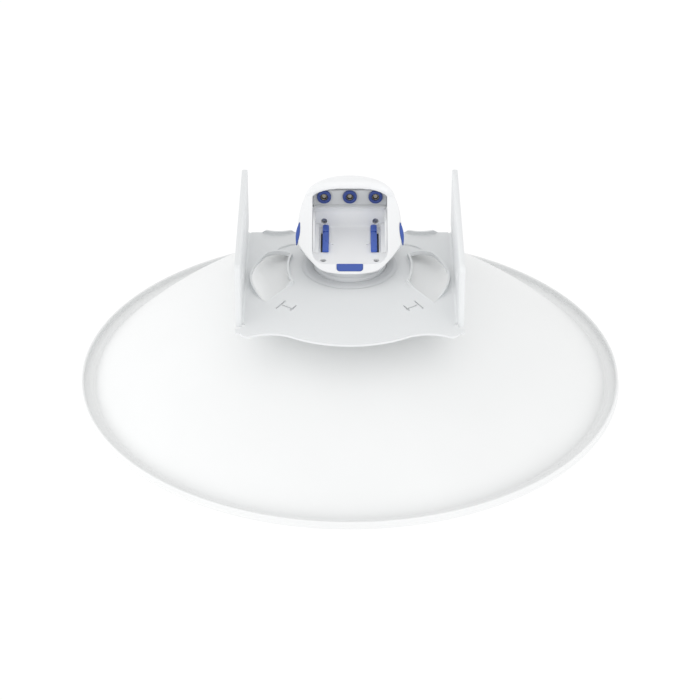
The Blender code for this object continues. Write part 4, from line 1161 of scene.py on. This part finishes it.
placed(cap, ["feed_cap"])
head = screw_head(radius=4.0, height=2.6, drive=2.3)
points = [(*polar((0, 0), HUB_SCREW_CIRCLE, 45 + 90 * i), flange_front - GAP) for i in range(4)]
nodes = [f"hub_screw_{i + 1}" for i in range(4)]
screws("hub_screws", head, points, (math.pi, 0, 0), nodes)
bpy.data.objects.remove(head)

# Studio: a camera below and behind the antenna, where the photograph was taken, a wide pale floor far
# below, and soft light: an even white sky, and three large lamps from the left and from both sides below.

CAMERA_LENS = 127.294
CAMERA_SHIFT = 0.2 / 700
CAMERA_PLACE = (0.0, -1.4363, -2.4312)
CAMERA_AHEAD = (0, 0.5202, 0.8540)
CAMERA_UP = (0, -0.8540, 0.5202)
FLOOR_HEIGHT, FLOOR_HALF_WIDTH = -7.0, 30.0
SKY_STRENGTH = 1.03
LAMP_CENTRE = Vector((0, 0, 0.12))
LAMP_SIZE, LAMP_DISTANCE = 3.0, 4
LAMPS = (
    ("left_light", (-1.0, -0.15, 0.0), 26),
    ("low_left_light", (-0.7, -0.2, -0.68), 35),
    ("low_right_light", (0.72, -0.05, -0.69), 42),
)

camera = bpy.data.objects.new("camera", bpy.data.cameras.new("camera"))
camera.data.lens = CAMERA_LENS
camera.data.sensor_width = 36.0
camera.data.shift_x = CAMERA_SHIFT
camera.data.clip_end = 40.0
ahead = Vector(CAMERA_AHEAD).normalized()
right = ahead.cross(Vector(CAMERA_UP)).normalized()
upward = right.cross(ahead)
turn = Matrix((right, upward, -ahead)).transposed().to_4x4()
camera.matrix_world = Matrix.Translation(CAMERA_PLACE) @ turn
bpy.context.scene.collection.objects.link(camera)
bpy.context.scene.camera = camera

floor_shape = bmesh.new()
bmesh.ops.create_grid(floor_shape, x_segments=1, y_segments=1, size=FLOOR_HALF_WIDTH)
bmesh.ops.translate(floor_shape, vec=(0, 0, FLOOR_HEIGHT), verts=floor_shape.verts)
studio_floor = as_object("studio_floor", floor_shape)
# Painted board, matt and nearly white.
studio_floor.data.materials.append(surface("pale_floor", "#EDEDED", 0.7, grain=3.0))
studio_floor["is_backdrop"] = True

world = bpy.data.worlds.new("studio")
world.use_nodes = True
sky = world.node_tree.nodes["Background"]
sky.inputs["Color"].default_value = (1, 1, 1, 1)
sky.inputs["Strength"].default_value = SKY_STRENGTH
bpy.context.scene.world = world

for name, way, power in LAMPS:
    lamp = bpy.data.lights.new(name, "AREA")
    lamp.size = LAMP_SIZE
    lamp.energy = power
    made = bpy.data.objects.new(name, lamp)
    made.location = LAMP_CENTRE + Vector(way).normalized() * LAMP_DISTANCE
    made.rotation_euler = (LAMP_CENTRE - made.location).to_track_quat("-Z", "Y").to_euler()
    bpy.context.scene.collection.objects.link(made)
bpy.context.scene.view_settings.view_transform = "Standard"

low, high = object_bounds()
